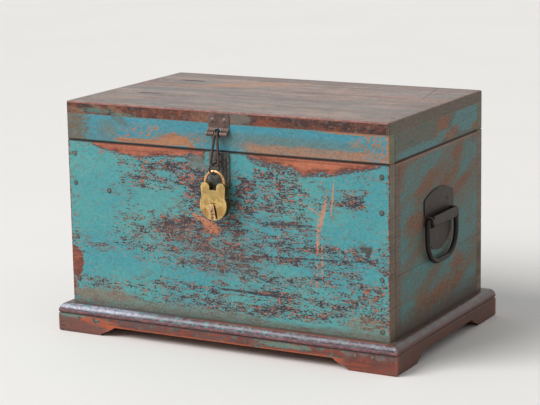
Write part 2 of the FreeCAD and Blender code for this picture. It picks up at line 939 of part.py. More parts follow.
def padlock_shackle():
    """The bow: an eye on the pivot pin at the left and a notched free leg at the right."""
    half = shackle_leg_spacing / 2
    shoulder = shackle_height - half
    edges = [
        Part.LineSegment(V(-half, 0, 0), V(-half, 0, shoulder)).toShape(),
        Part.Arc(V(-half, 0, shoulder), V(0, 0, shackle_height), V(half, 0, shoulder)).toShape(),
        Part.LineSegment(V(half, 0, shoulder), V(half, 0, shackle_height - shackle_free_leg)).toShape(),
    ]
    bow = tube(Part.Wire(edges), shackle_wire_radius)
    eye = rod(shackle_eye_radius, V(-half, -shackle_wire_radius, 0), Y_AXIS, 2 * shackle_wire_radius)
    pin_hole = rod(
        lock_pin_radius + running_play, V(-half, -shackle_wire_radius - over, 0), Y_AXIS,
        2 * (shackle_wire_radius + over))
    notch_x = half - shackle_wire_radius
    notch = block(
        notch_x - over, notch_x + shackle_notch_deep, -over, over,
        bolt_top() - bolt_height - shackle_notch_play, bolt_top() + shackle_notch_play)
    shape = bow.fuse(eye).cut(pin_hole).cut(notch).removeSplitter()
    return shape.translated(lock_origin())


def lock_outline(inset):
    """Two ears with a gap between them over a round lower half, drawn about the lock's origin."""
    gap = lock_gap_width / 2 + inset
    ear = lock_ear_radius - inset
    ear_x = lock_gap_width / 2 + lock_ear_radius
    ear_z = lock_ear_rise
    floor_z = lock_gap_floor - inset
    round_z = -lock_round_drop
    radius = lock_round_radius - inset
    waist = math.radians(lock_waist_angle)
    waist_x = radius * math.cos(waist)
    waist_z = round_z + radius * math.sin(waist)
    return outline(at_xz, (-gap, floor_z), [
        ((gap, floor_z),),
        ((gap, ear_z),),
        ((ear_x, ear_z + ear), (ear_x + ear, ear_z)),
        ((waist_x, waist_z),),
        ((0, round_z - radius), (-waist_x, waist_z)),
        ((-ear_x - ear, ear_z),),
        ((-ear_x, ear_z + ear), (-gap, ear_z)),
    ])


def lock_slab(inset, y0, y1):
    face = lock_outline(inset)
    face.translate(Y_AXIS * y0)
    return face.extrude(Y_AXIS * (y1 - y0))


def lock_rivet_spots():
    """Three rivets on the rim's middle line, at the foot and the two waists."""
    middle = lock_round_radius - lock_rim_wall / 2
    spots = []
    for angle in lock_rivet_angles:
        turn = math.radians(angle)
        spots.append((middle * math.cos(turn), middle * math.sin(turn) - lock_round_drop))
    return spots


def lock_rivet_holes():
    reach = lock_rim_deep / 2 + lock_plate_thick + over
    return [rod(lock_rivet_radius + running_play, V(x, -reach, z), Y_AXIS, 2 * reach)
            for x, z in lock_rivet_spots()]


def padlock_rivets():
    reach = lock_rim_deep / 2 + lock_plate_thick
    return [rod(lock_rivet_radius, lock_origin() + V(x, -reach, z), Y_AXIS, 2 * reach)
            for x, z in lock_rivet_spots()]


def bow_room():
    """What the bow needs inside the rim: its swing about the pin, its eye, and the free leg's way."""
    half = shackle_leg_spacing / 2
    slot = shackle_wire_radius + shackle_slot_play
    swing = lock_round_radius
    gap_side = lock_gap_width / 2
    tip_swing = math.hypot(
        shackle_leg_spacing + shackle_wire_radius, shackle_free_leg - shackle_height)
    far_side = tip_swing + moving_gap - half
    fan = rod(swing, V(-half, -slot, 0), Y_AXIS, 2 * slot)
    below = block(-half - swing - over, half, -slot - over, slot + over, -swing - over, -slot)
    beside = block(-half + slot, half, -slot - over, slot + over, -slot - over, swing)
    eye = rod(shackle_eye_radius + moving_gap, V(-half, -slot, 0), Y_AXIS, 2 * slot)
    mouth = block(
        gap_side, far_side, -slot, slot, 0, lock_ear_rise + lock_ear_radius + over)
    well = block(
        gap_side + lock_rim_wall, far_side, -slot, slot,
        shackle_height - shackle_free_leg - shackle_slot_play, lock_gap_floor)
    return [cut_all(fan, [below, beside]), eye, mouth, well]


def padlock_rim():
    """The band between the plates, slotted where the bow swings out and where its leg enters."""
    half_deep = lock_rim_deep / 2
    inside = lock_slab(lock_rim_wall, -half_deep - over, half_deep + over)
    rim = lock_slab(0, -half_deep, half_deep).cut(inside)
    holes = lock_rivet_holes() + [pivot_hole()]
    return cut_all(rim, bow_room() + holes).translated(lock_origin())


def pivot_hole():
    half = shackle_leg_spacing / 2
    reach = lock_rim_deep / 2 + lock_plate_thick + over
    return rod(lock_pin_radius + running_play, V(-half, -reach, 0), Y_AXIS, 2 * reach)


def padlock_pivot_pin():
    reach = lock_rim_deep / 2 + lock_plate_thick
    return rod(lock_pin_radius, shackle_pivot() - Y_AXIS * reach, Y_AXIS, 2 * reach)


def cover_pivot():
    """Where the keyhole cover hangs on the front plate, from the lock's origin."""
    front = -(lock_rim_deep / 2 + lock_plate_thick)
    return V(-cover_pivot_aside, front, -cover_top_drop - cover_pivot_inset)


def padlock_front_plate():
    half_deep = lock_rim_deep / 2
    plate = lock_slab(0, -half_deep - lock_plate_thick, -half_deep)
    pivot = cover_pivot()
    rivet_hole = rod(cover_rivet_radius + running_play, pivot - Y_AXIS * over, Y_AXIS, 2 * over)
    key_x = pivot.x + keyhole_aside
    key_z = pivot.z - keyhole_drop
    round_hole = rod(keyhole_radius, V(key_x, pivot.y - over, key_z), Y_AXIS, 2 * over)
    slot = block(
        key_x - keyhole_width / 2, key_x + keyhole_width / 2, pivot.y - over, pivot.y + over,
        key_z - keyhole_length, key_z)
    plate = cut_all(plate, [pivot_hole(), rivet_hole, round_hole, slot] + lock_rivet_holes())
    return plate.translated(lock_origin())


def lever_post_spot():
    height = bolt_top() - bolt_height - lever_eye_radius * 2
    return V(-lock_gap_width / 2 - lever_eye_radius, 0, height)


def padlock_back_plate():
    """The plain back plate, with the post that the levers turn on."""
    half_deep = lock_rim_deep / 2
    plate = lock_slab(0, half_deep, half_deep + lock_plate_thick)
    plate = cut_all(plate, [pivot_hole()] + lock_rivet_holes())
    post = lever_post_spot()
    length = lock_rim_deep - moving_gap
    plate = plate.fuse(rod(lever_post_radius, V(post.x, half_deep, post.z), -Y_AXIS, length))
    return plate.removeSplitter().translated(lock_origin())


def padlock_lever(y0):
    """One flat lever: an eye on the post and an arm that ends in a pointed belly."""
    post = lever_post_spot()
    tip = post.x + lever_arm_length
    top = post.z + lever_arm_height / 2
    low = top - lever_arm_height
    arm = outline(at_xz, (post.x, low), [
        ((tip, low - lever_tip_drop),),
        ((tip + lever_stub_out, low),),
        ((tip, top),),
        ((post.x, top),),
    ])
    arm.translate(Y_AXIS * y0)
    eye = rod(lever_eye_radius, V(post.x, y0, post.z), Y_AXIS, lever_thick)
    lever = merged(eye, [arm.extrude(Y_AXIS * lever_thick)])
    hole = rod(
        lever_post_radius + running_play, V(post.x, y0 - over, post.z), Y_AXIS,
        lever_thick + 2 * over)
    return lever.cut(hole).translated(lock_origin())


def padlock_levers():
    """The levers share one post under the bolt, evenly spaced between the plates."""
    pitch = (lock_rim_deep - 2 * moving_gap) / lever_count
    first = -lock_rim_deep / 2 + moving_gap + (pitch - lever_thick) / 2
    return [padlock_lever(first + index * pitch) for index in range(lever_count)]


def padlock_bolt():
    """The bolt, drawn back clear of the leg, with a talon for the key in its lower edge."""
    top = bolt_top()
    low = top - bolt_height
    tip = shackle_leg_spacing / 2 - shackle_wire_radius - moving_gap
    half_deep = lock_rim_deep / 2 - moving_gap
    tongue_half = shackle_wire_radius
    body = block(tip - bolt_length, tip - bolt_tongue_length / 2, -half_deep, half_deep, low, top)
    tongue = block(tip - bolt_tongue_length, tip, -tongue_half, tongue_half, low, top)
    talon = rod(
        bolt_talon_radius, V(tip - bolt_talon_back, -half_deep - over, low), Y_AXIS,
        2 * (half_deep + over))
    return merged(body, [tongue]).cut(talon).translated(lock_origin())


def keyhole_cover():
    """A round-ended drop that swings on its rivet, tilted as it hangs."""
    pivot = cover_pivot()
    y0 = pivot.y - cover_gap - cover_thick
    half = cover_width / 2
    top = pivot.z + cover_pivot_inset
    low = top - cover_length
    corner = cover_corner
    bend = corner * (1 - math.sqrt(0.5))
    face = outline(at_xz, (-half, low + corner), [
        ((-half + bend, low + bend), (-half + corner, low)),
        ((half - corner, low),),
        ((half - bend, low + bend), (half, low + corner)),
        ((half, top - corner),),
        ((half - bend, top - bend), (half - corner, top)),
        ((-half + corner, top),),
        ((-half + bend, top - bend), (-half, top - corner)),
    ])
    face.translate(V(pivot.x, y0, 0))
    drop = face.extrude(Y_AXIS * cover_thick)
    hole = rod(
        cover_rivet_radius + running_play, V(pivot.x, y0 - over, pivot.z), Y_AXIS,
        cover_thick + 2 * over)
    return drop.cut(hole).rotated(pivot, Y_AXIS, -cover_tilt).translated(lock_origin())


def cover_rivet():
    pivot = cover_pivot()
    head_y = pivot.y - 2 * cover_gap - cover_thick
    shank_length = 2 * cover_gap + cover_thick + lock_plate_thick
    shank = rod(cover_rivet_radius, V(pivot.x, head_y, pivot.z), Y_AXIS, shank_length)
    head = Part.makeCone(
        cover_rivet_head_radius, cover_rivet_head_radius * head_top_share, cover_rivet_head_thick,
        V(pivot.x, head_y, pivot.z), -Y_AXIS)
    return shank.fuse(head).removeSplitter().translated(lock_origin())


# End handles, drawn on the right end and turned half round for the left

def trough_out():
    """How far the bail's pivot stands out of the end wall."""
    return handle_thick + trough_inner_radius


def handle_sheet():
    """The arched back plate with its narrower tongue down behind the bail."""
    w = handle_half_width
    n = tongue_half_width
    face = outline(at_yz, (-w, handle_step_rise), [
        ((-w, handle_shoulder_rise),),
        ((0, handle_arch_rise), (w, handle_shoulder_rise)),
        ((w, handle_step_rise),),
        ((n, handle_step_rise),),
        ((n, -tongue_straight_drop),),
        ((0, -tongue_drop), (-n, -tongue_straight_drop)),
        ((-n, handle_step_rise),),
    ])
    face.translate(V(half_width, 0, handle_height))
    return face.extrude(X_AXIS * handle_thick)


def handle_trough():
    """The sheet's forward fold: a J-shaped lip in front of the bail's turned-in ends."""
    inner = trough_inner_radius
    outer = inner + handle_thick
    c = half_width + trough_out()
    z = handle_height - trough_drop
    lip = handle_height + trough_lip_height
    face = outline(at_xz, (c - outer, z), [
        ((c, z - outer), (c + outer, z)),
        ((c + outer, lip),),
        ((c + inner, lip),),
        ((c + inner, z),),
        ((c, z - inner), (c - inner, z)),
    ])
    face.translate(Y_AXIS * -trough_half_width)
    return face.extrude(Y_AXIS * (2 * trough_half_width))


def bail_end_place():
    """How far from the handle's middle each end of the bail's thick bar stops."""
    return bail_half_width - bail_wire_radius - bail_shoulder_radius - bail_end_length


def handle_ear(side):
    """A rounded lug at the end of the trough, bored for the bail's pivot."""
    c = half_width + trough_out()
    inner_y = trough_half_width
    outer_y = bail_end_place() - moving_gap
    r = ear_radius
    z = handle_height
    face = outline(at_xz, (half_width, z - r), [
        ((c, z - r),),
        ((c + r, z), (c, z + r)),
        ((half_width, z + r),),
    ])
    y0, y1 = sorted((side * inner_y, side * outer_y))
    face.translate(Y_AXIS * y0)
    return face.extrude(Y_AXIS * (y1 - y0))


def handle_plate():
    shape = merged(handle_sheet(), [handle_trough(), handle_ear(-1), handle_ear(1)])
    c = half_width + trough_out()
    bore = rod(
        bail_pivot_radius + running_play, V(c, -bail_half_width - over, handle_height), Y_AXIS,
        2 * (bail_half_width + over))
    return shape.cut(bore)


def handle_nail_sites():
    height = handle_height + handle_nail_rise
    return [(V(half_width + handle_thick, side * handle_nail_place, height), X_AXIS)
            for side in (-1, 1)]


def handle_bail():
    """A round-bar U whose ends turn in through the lugs."""
    c = half_width + trough_out()
    y = bail_half_width - bail_wire_radius
    z = handle_height
    low = z - bail_drop + bail_wire_radius
    end = bail_end_place()
    path = route(
        [V(c, -end, z), V(c, -y, z), V(c, -y, low), V(c, y, low), V(c, y, z), V(c, end, z)],
        [bail_shoulder_radius, bail_corner_radius, bail_corner_radius, bail_shoulder_radius])
    bar = tube(path, bail_wire_radius)
    pins = []
    for side in (-1, 1):
        y_in = trough_half_width - bail_pivot_inset
        y0, y1 = sorted((side * y_in, side * y))
        pins.append(rod(bail_pivot_radius, V(c, y0, z), Y_AXIS, y1 - y0))
    return merged(bar, pins)


# Fitting the pieces together

def fit_nails(parts, node, boards, sites, head_radius=nail_head_radius):
    """Drives one node's nails and cuts their holes in each board that they reach."""
    nails = [nail(*site, head_radius) for site in sites]
    for board in boards:
        holes = [nail_hole(*site) for site in sites]
        near = [hole for hole in holes if hole.BoundBox.intersect(parts[board].BoundBox)]
        parts[board] = cut_all(parts[board], near)
    parts[node] = nails


def with_length(places, length):
    return [(place, outward, length) for place, outward in places]


def fit_board_nails(parts):
    body = [side + place for side in ("front_", "back_", "left_end_", "right_end_")
            for place in ("upper_plank", "lower_plank")]
    walls = [(place, outward, wall_nail_length(place)) for place, outward in wall_nail_places()]
    fit_nails(parts, "wall_nails", body, walls)
    fit_nails(
        parts, "plinth_nails",
        ["plinth_front", "plinth_back", "front_lower_plank", "back_lower_plank"],
        with_length(plinth_nail_sites(), nail_length))
    fit_nails(
        parts, "lid_nails",
        ["lid_front_plank", "lid_rear_plank", "lid_end_piece", "lid_left_rail", "lid_right_rail",
         "lid_back_rail"],
        with_length(lid_nail_places(), nail_length))


def fit_hinges(parts):
    """Both hinges on the back: the lower leaves on the body and the upper ones on the lid."""
    pairs = ((-hinge_place, "left"), (hinge_place, "right"))
    for side, leaf, board in ((-1, "body", "back_upper_plank"), (1, "lid", "lid_back_rail")):
        nodes = []
        sites = []
        for x, name in pairs:
            bands = hinge_bands(x)[0 if side < 0 else 1]
            node = name + "_hinge_" + leaf + "_leaf"
            parts[node] = hinge_leaf(x, side, bands)
            nodes.append(node)
            sites += with_length(hinge_nail_places(x, side), hinge_nail_length)
        fit_nails(parts, "hinge_" + leaf + "_nails", nodes + [board], sites, small_nail_head_radius)
    for x, name in pairs:
        parts[name + "_hinge_pin"] = hinge_pin(x)


def fit_handles(parts):
    """The right end's handle, and the same one turned half round for the left end."""
    centre = V(0, 0, 0)
    for name, angle in (("right", 0), ("left", 180)):
        turn = FreeCAD.Rotation(Z_AXIS, angle)
        sites = [(turn.multVec(place), turn.multVec(outward), handle_nail_length)
                 for place, outward in handle_nail_sites()]
        plate = name + "_handle_plate"
        parts[plate] = handle_plate().rotated(centre, Z_AXIS, angle)
        parts[name + "_handle_bail"] = handle_bail().rotated(centre, Z_AXIS, angle)
        fit_nails(parts, name + "_handle_nails", [plate, name + "_end_upper_plank"], sites)


def fit_hasp(parts):
    """The hasp on the lid with its hanging link, and the staple and its plate on the body."""
    parts["hasp_plate"] = hasp_plate()
    parts["hasp_pin"] = hasp_pin()
    parts["hasp_link"] = hasp_link()
    parts["hasp_rivets"] = [dome_rivet(
        site, hasp_rivet_radius, hasp_rivet_dome, hasp_rivet_shank, hasp_rivet_length)
        for site in hasp_rivet_sites()]
    parts["lid_front_plank"] = cut_all(parts["lid_front_plank"], hasp_rivet_bores())
    parts["staple_plate"] = staple_plate()
    parts["staple"] = staple()
    parts["front_upper_plank"] = cut_all(parts["front_upper_plank"], staple_holes())
    fit_nails(
        parts, "staple_plate_nails", ["staple_plate", "front_upper_plank"],
        with_length(staple_nail_sites(), staple_nail_length), small_nail_head_radius)


def make_padlock():
    return {
        "lock_ring": lock_ring(),
        "padlock_shackle": padlock_shackle(),
        "padlock_rim": padlock_rim(),
        "padlock_front_plate": padlock_front_plate(),
        "padlock_back_plate": padlock_back_plate(),
        "padlock_pivot_pin": padlock_pivot_pin(),
        "padlock_rivets": padlock_rivets(),
        "padlock_levers": padlock_levers(),
        "padlock_bolt": padlock_bolt(),
        "keyhole_cover": keyhole_cover(),
        "cover_rivet": cover_rivet(),
    }


def main():
    os.makedirs("parts", exist_ok=True)
    parts = {}
    for group in (make_walls(), make_floor(), make_plinth(), make_lid(), make_padlock()):
        parts.update(group)
    fit_board_nails(parts)
    fit_hinges(parts)
    fit_handles(parts)
    fit_hasp(parts)
    for node, shape in parts.items():
        save(node, shape)


main()
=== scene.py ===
import math

import bpy
from mathutils import Matrix, Vector


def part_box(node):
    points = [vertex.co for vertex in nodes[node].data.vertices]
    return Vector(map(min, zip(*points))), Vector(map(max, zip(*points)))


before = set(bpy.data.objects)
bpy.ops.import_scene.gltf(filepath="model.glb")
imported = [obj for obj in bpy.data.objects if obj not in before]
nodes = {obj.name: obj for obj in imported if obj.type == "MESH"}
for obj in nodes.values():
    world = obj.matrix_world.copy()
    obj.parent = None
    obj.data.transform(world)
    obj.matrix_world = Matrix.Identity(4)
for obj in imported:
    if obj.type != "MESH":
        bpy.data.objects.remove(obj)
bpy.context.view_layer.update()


def measured(node):
    """The lowest and the highest corner of a CAD node, in metres to a hundredth of a millimetre."""
    return [[round(value, 5) for value in corner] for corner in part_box(node)]


# The chest's driving places. Every place below is in metres in the CAD's own frame.

(_, front_face, _), (half_width, _, body_top) = measured("front_upper_plank")
(_, _, lid_low), (_, _, rail_top) = measured("lid_front_rail")
_, (_, top_joint, lid_top) = measured("lid_front_plank")
_, (plinth_half, _, plinth_top) = measured("plinth_front")
_, (plate_right, _, _) = measured("staple_plate")
half_depth = -front_face
nail_out = half_width - 0.0135
ovolo_foot = plinth_top - 0.0104
bead_foot = plinth_top - 0.015
groove_foot = plinth_top - 0.018
apron_height = plinth_top - 0.0315


def linear(colour):
    """A colour written in display values from 0 to 255, as the shaders take it."""
    shares = [value / 255 for value in colour]
    return (*(c / 12.92 if c <= 0.04045 else ((c + 0.055) / 1.055) ** 2.4 for c in shares), 1.0)


class Tree:
    """A material whose nodes are placed by the object's own coordinates, in metres."""

    def __init__(self, name):
        self.mat = bpy.data.materials.new(name)
        self.mat.use_nodes = True
        self.nodes = self.mat.node_tree.nodes
        self.links = self.mat.node_tree.links
        self.place = self.put("TexCoord", {}).outputs["Object"]
        self.x, self.y, self.z = self.parts(self.place)

    def fill(self, node, values):
        """Each named input is linked where its value is another node's output, and set otherwise."""
        for name, value in values.items():
            if isinstance(value, bpy.types.NodeSocket):
                self.links.new(value, node.inputs[name])
            else:
                node.inputs[name].default_value = value
        return node

    def put(self, kind, values, **settings):
        """A new node with its settings made and its inputs filled."""
        node = self.nodes.new("ShaderNode" + kind)
        for name, value in settings.items():
            setattr(node, name, value)
        return self.fill(node, values)

    def calc(self, operation, a, b=0.0, c=0.0):
        return self.put("Math", {0: a, 1: b, 2: c}, operation=operation).outputs[0]

    def add(self, a, b):
        return self.calc("ADD", a, b)

    def times(self, a, b):
        return self.calc("MULTIPLY", a, b)

    def moved(self, value, by, share):
        """A value moved by a share of another."""
        return self.calc("MULTIPLY_ADD", by, share, value)

    def total(self, first, *others):
        """The sum of some values, each given with its share."""
        out = self.times(*first)
        for value, share in others:
            out = self.moved(out, value, share)
        return out

    def blend(self, a, b, share=0.5):
        """A share of one value and the rest of another."""
        return self.total((b, 1 - share), (a, share))

    def between(self, mask, a, b):
        """A number from a where the mask is 0 to b where it is 1."""
        return self.calc("MULTIPLY_ADD", mask, b - a, a)

    def any_of(self, masks):
        """The highest of several masks, each joined as it is made, so that few values wait."""
        out = None
        for mask in masks:
            out = mask if out is None else self.calc("MAXIMUM", out, mask)
        return out

    def either(self, *masks):
        return self.any_of(masks)

    def without(self, mask, gone):
        """What is left of a mask where another isn't."""
        return self.times(mask, self.calc("SUBTRACT", 1.0, gone))

    def far(self, value):
        """How far a place is from the middle of the chest along one axis."""
        return self.calc("ABSOLUTE", value)

    def step(self, value, low, high):
        """0 below low, 1 above high and smooth between; falls instead where low is the larger."""
        first, last = (0.0, 1.0) if low < high else (1.0, 0.0)
        return self.put("MapRange", {
            "Value": value, "From Min": min(low, high), "From Max": max(low, high),
            "To Min": first, "To Max": last}, interpolation_type="SMOOTHSTEP").outputs["Result"]

    def parts(self, vector):
        return self.put("SeparateXYZ", {"Vector": vector}).outputs

    def flat(self, u, v):
        return self.put("CombineXYZ", {"X": u, "Y": v}).outputs[0]

    def scaled(self, vector, scale, shift=(0, 0, 0)):
        inputs = {0: vector, 1: scale, 2: shift}
        return self.put("VectorMath", inputs, operation="MULTIPLY_ADD").outputs[0]

    def noise(self, scale, detail=4.0, rough=0.55, bend=0.0, shift=(0, 0, 0), of=None):
        """Noise from 0 to 1. Its scale in waves per metre is one number or one for each axis."""
        scale = scale if isinstance(scale, tuple) else (scale, scale, scale)
        return self.put("TexNoise", {
            "Vector": self.scaled(of or self.place, scale, shift), "Scale": 1.0,
            "Detail": detail, "Roughness": rough, "Distortion": bend}).outputs[0]

    def blot(self, flat, centre, radii, ragged, amount=0.5, soft=0.08, turn=0.0):
        """A patch on the flat (u, v) plane, 1 inside and 0 outside.

        Its edge strays by the ragged noise times the amount and fades over soft. Its turn is in degrees.
        """
        if turn:
            there = self.put("Mapping", {
                "Vector": flat, "Location": (*centre, 0), "Rotation": (0, 0, math.radians(turn)),
                "Scale": (*radii, 1)}, vector_type="TEXTURE").outputs[0]
        else:
            (u, v), (wide, tall) = centre, radii
            there = self.scaled(flat, (1 / wide, 1 / tall, 0), (-u / wide, -v / tall, 0))
        away = self.put("VectorMath", {0: there}, operation="LENGTH").outputs["Value"]
        return self.step(self.moved(away, ragged, -2 * amount), 1 + soft - amount, 1 - soft - amount)

    def blots(self, flat, *spots):
        """The highest of several blots, each given by its own values."""
        return self.any_of(self.blot(flat, *spot) for spot in spots)

    def stroke(self, flat, start, end, half, ragged, amount=0.8, soft=0.3):
        """A long thin blot between two points."""
        middle = ((start[0] + end[0]) / 2, (start[1] + end[1]) / 2)
        across, up = end[0] - start[0], end[1] - start[1]
        return self.blot(flat, middle, (math.hypot(across, up) / 2, half), ragged, amount, soft,
                         math.degrees(math.atan2(up, across)))

    def line(self, across, points):
        """The height there of a line drawn straight from point to point, given in millimetres."""
        xs, zs = zip(*points)
        left, low = min(xs), min(zs)
        wide, tall = max(xs) - left, max(zs) - low
        there = self.calc("MULTIPLY_ADD", across, 1000 / wide, -left / wide)
        node = self.put("FloatCurve", {"Value": there})
        node.mapping.extend = "HORIZONTAL"
        drawn = node.mapping.curves[0].points
        for index, (x, z) in enumerate(points):
            place = ((x - left) / wide, (z - low) / tall)
            if index in (0, len(points) - 1):
                point = drawn[0 if index == 0 else len(drawn) - 1]
                point.location = place
            else:
                point = drawn.new(*place)
            point.handle_type = "VECTOR"
        node.mapping.update()
        return self.calc("MULTIPLY_ADD", node.outputs[0], tall / 1000, low / 1000)

    def mix(self, mask, a, b):
        """Colour a where the mask is 0 and b where it is 1."""
        a, b = (linear(colour) if isinstance(colour, tuple) else colour for colour in (a, b))
        return self.put("Mix", {0: mask, 6: a, 7: b}, data_type="RGBA").outputs[2]

    def over(self, colour, mask, amount, tone):
        """A tone laid over a colour where the mask is, as thick as the amount."""
        return self.mix(self.times(mask, amount), colour, tone)

    def two(self, value, low, high, a, b):
        """Colour a where a value is below low and b where it is above high."""
        return self.mix(self.step(value, low, high), a, b)

    def true_normal(self):
        return self.put("NewGeometry", {}).outputs["True Normal"]

    def edges(self, radius):
        """1 on worn arrises within that radius, from the rounded normal against the true one."""
        bevel = self.put("Bevel", {"Radius": radius}, samples=4).outputs[0]
        node = self.put("VectorMath", {0: bevel, 1: self.true_normal()}, operation="DOT_PRODUCT")
        return self.step(node.outputs["Value"], 0.995, 0.86)

    def finish(self, colour, rough, height, depth, metal=0.0, coat=0.0, level=0.5):
        """The shader's inputs, with bumps of that height times that depth in metres."""
        bump = self.put("Bump", {"Height": height, "Distance": depth, "Strength": 1.0})
        self.fill(self.nodes["Principled BSDF"], {
            "Base Color": colour, "Roughness": rough, "Metallic": metal, "Specular IOR Level": level,
            "Coat Weight": coat, "Coat Roughness": 0.3, "Normal": bump.outputs[0]})
        return self.mat


# Wood and worn paint

def grain(t, along):
    """Wood grain that runs along one axis: fine lines and wide soft bands."""
    fine = {"x": (9, 420, 420), "y": (420, 9, 420)}[along]
    wide = {"x": (2.2, 34, 46), "y": (34, 2.2, 46)}[along]
    return t.noise(fine, 3, 0.6, 0.4), t.noise(wide, 4, 0.6, 1.2)


def bare_wood(t, along, pale, dark):
    """Wood between two colours with darker grain, and its grain lines."""
    lines, bands = grain(t, along)
    colour = t.two(bands, 0.3, 0.7, pale, dark)
    shade = tuple(int(c * 0.62) for c in dark)
    return t.over(colour, t.step(lines, 0.52, 0.72), 0.6, shade), lines


def mottled(t, colour, amount):
    """The same colour with fine darker and paler mottling."""
    fine = t.noise((170, 170, 230), 3, 0.65, 0.2, (9, 9, 1))
    colour = t.over(colour, t.step(fine, 0.5, 0.68), amount, (52, 52, 54))
    return t.over(colour, t.step(fine, 0.46, 0.3), amount * 0.6, (168, 178, 172))


def seam_shade_and_dirt(t, colour, jagged, start, end):
    """The dark line of painted shade and dirt along the joint of lid and body."""
    return t.over(colour, t.step(t.moved(t.z, jagged, 0.0006), start, end), 0.9, (30, 24, 22))


def inner_wood(t, along):
    """The bare wood of the faces inside the chest, and its grain lines."""
    return bare_wood(t, along, (150, 108, 74), (112, 76, 50))


def inner_faces(t, start, end):
    """A long board's inner face, and its edge at the joint of lid and body but for the outer lip."""
    depth = t.far(t.y)
    edge = t.times(t.step(t.z, start, end), t.step(depth, half_depth - 0.0045, half_depth - 0.006))
    return t.either(t.step(depth, half_depth - 0.0013, half_depth - 0.0018), edge)


def flanks(t):
    """The end grain of the long boards, which shows at the chest's corners."""
    return t.step(t.far(t.x), half_width - 0.0009, half_width - 0.0002)


def board_inside(t, colour):
    """The bare wood of a body board's hidden faces and end grain, added over its outer face."""
    hidden = inner_faces(t, body_top - 0.0005, body_top - 0.0002)
    inner, _ = inner_wood(t, "x")
    flank = flanks(t)
    olive, _ = bare_wood(t, "y", (112, 92, 74), (84, 74, 60))
    green = t.times(t.step(t.noise((30, 30, 8), 4, 0.6, 0, (5, 5, 5)), 0.5, 0.6), t.step(t.z, 0.22, 0.3))
    colour = t.mix(flank, colour, t.mix(green, olive, (104, 112, 92)))
    return t.mix(t.without(hidden, flank), colour, inner)


def end_inside(t, colour):
    """The bare wood inside an end board, added over its outer face, and its grain lines."""
    hidden = t.step(t.far(t.x), half_width - 0.0011, half_width - 0.0016)
    inner, lines = inner_wood(t, "y")
    return t.mix(hidden, colour, inner), lines


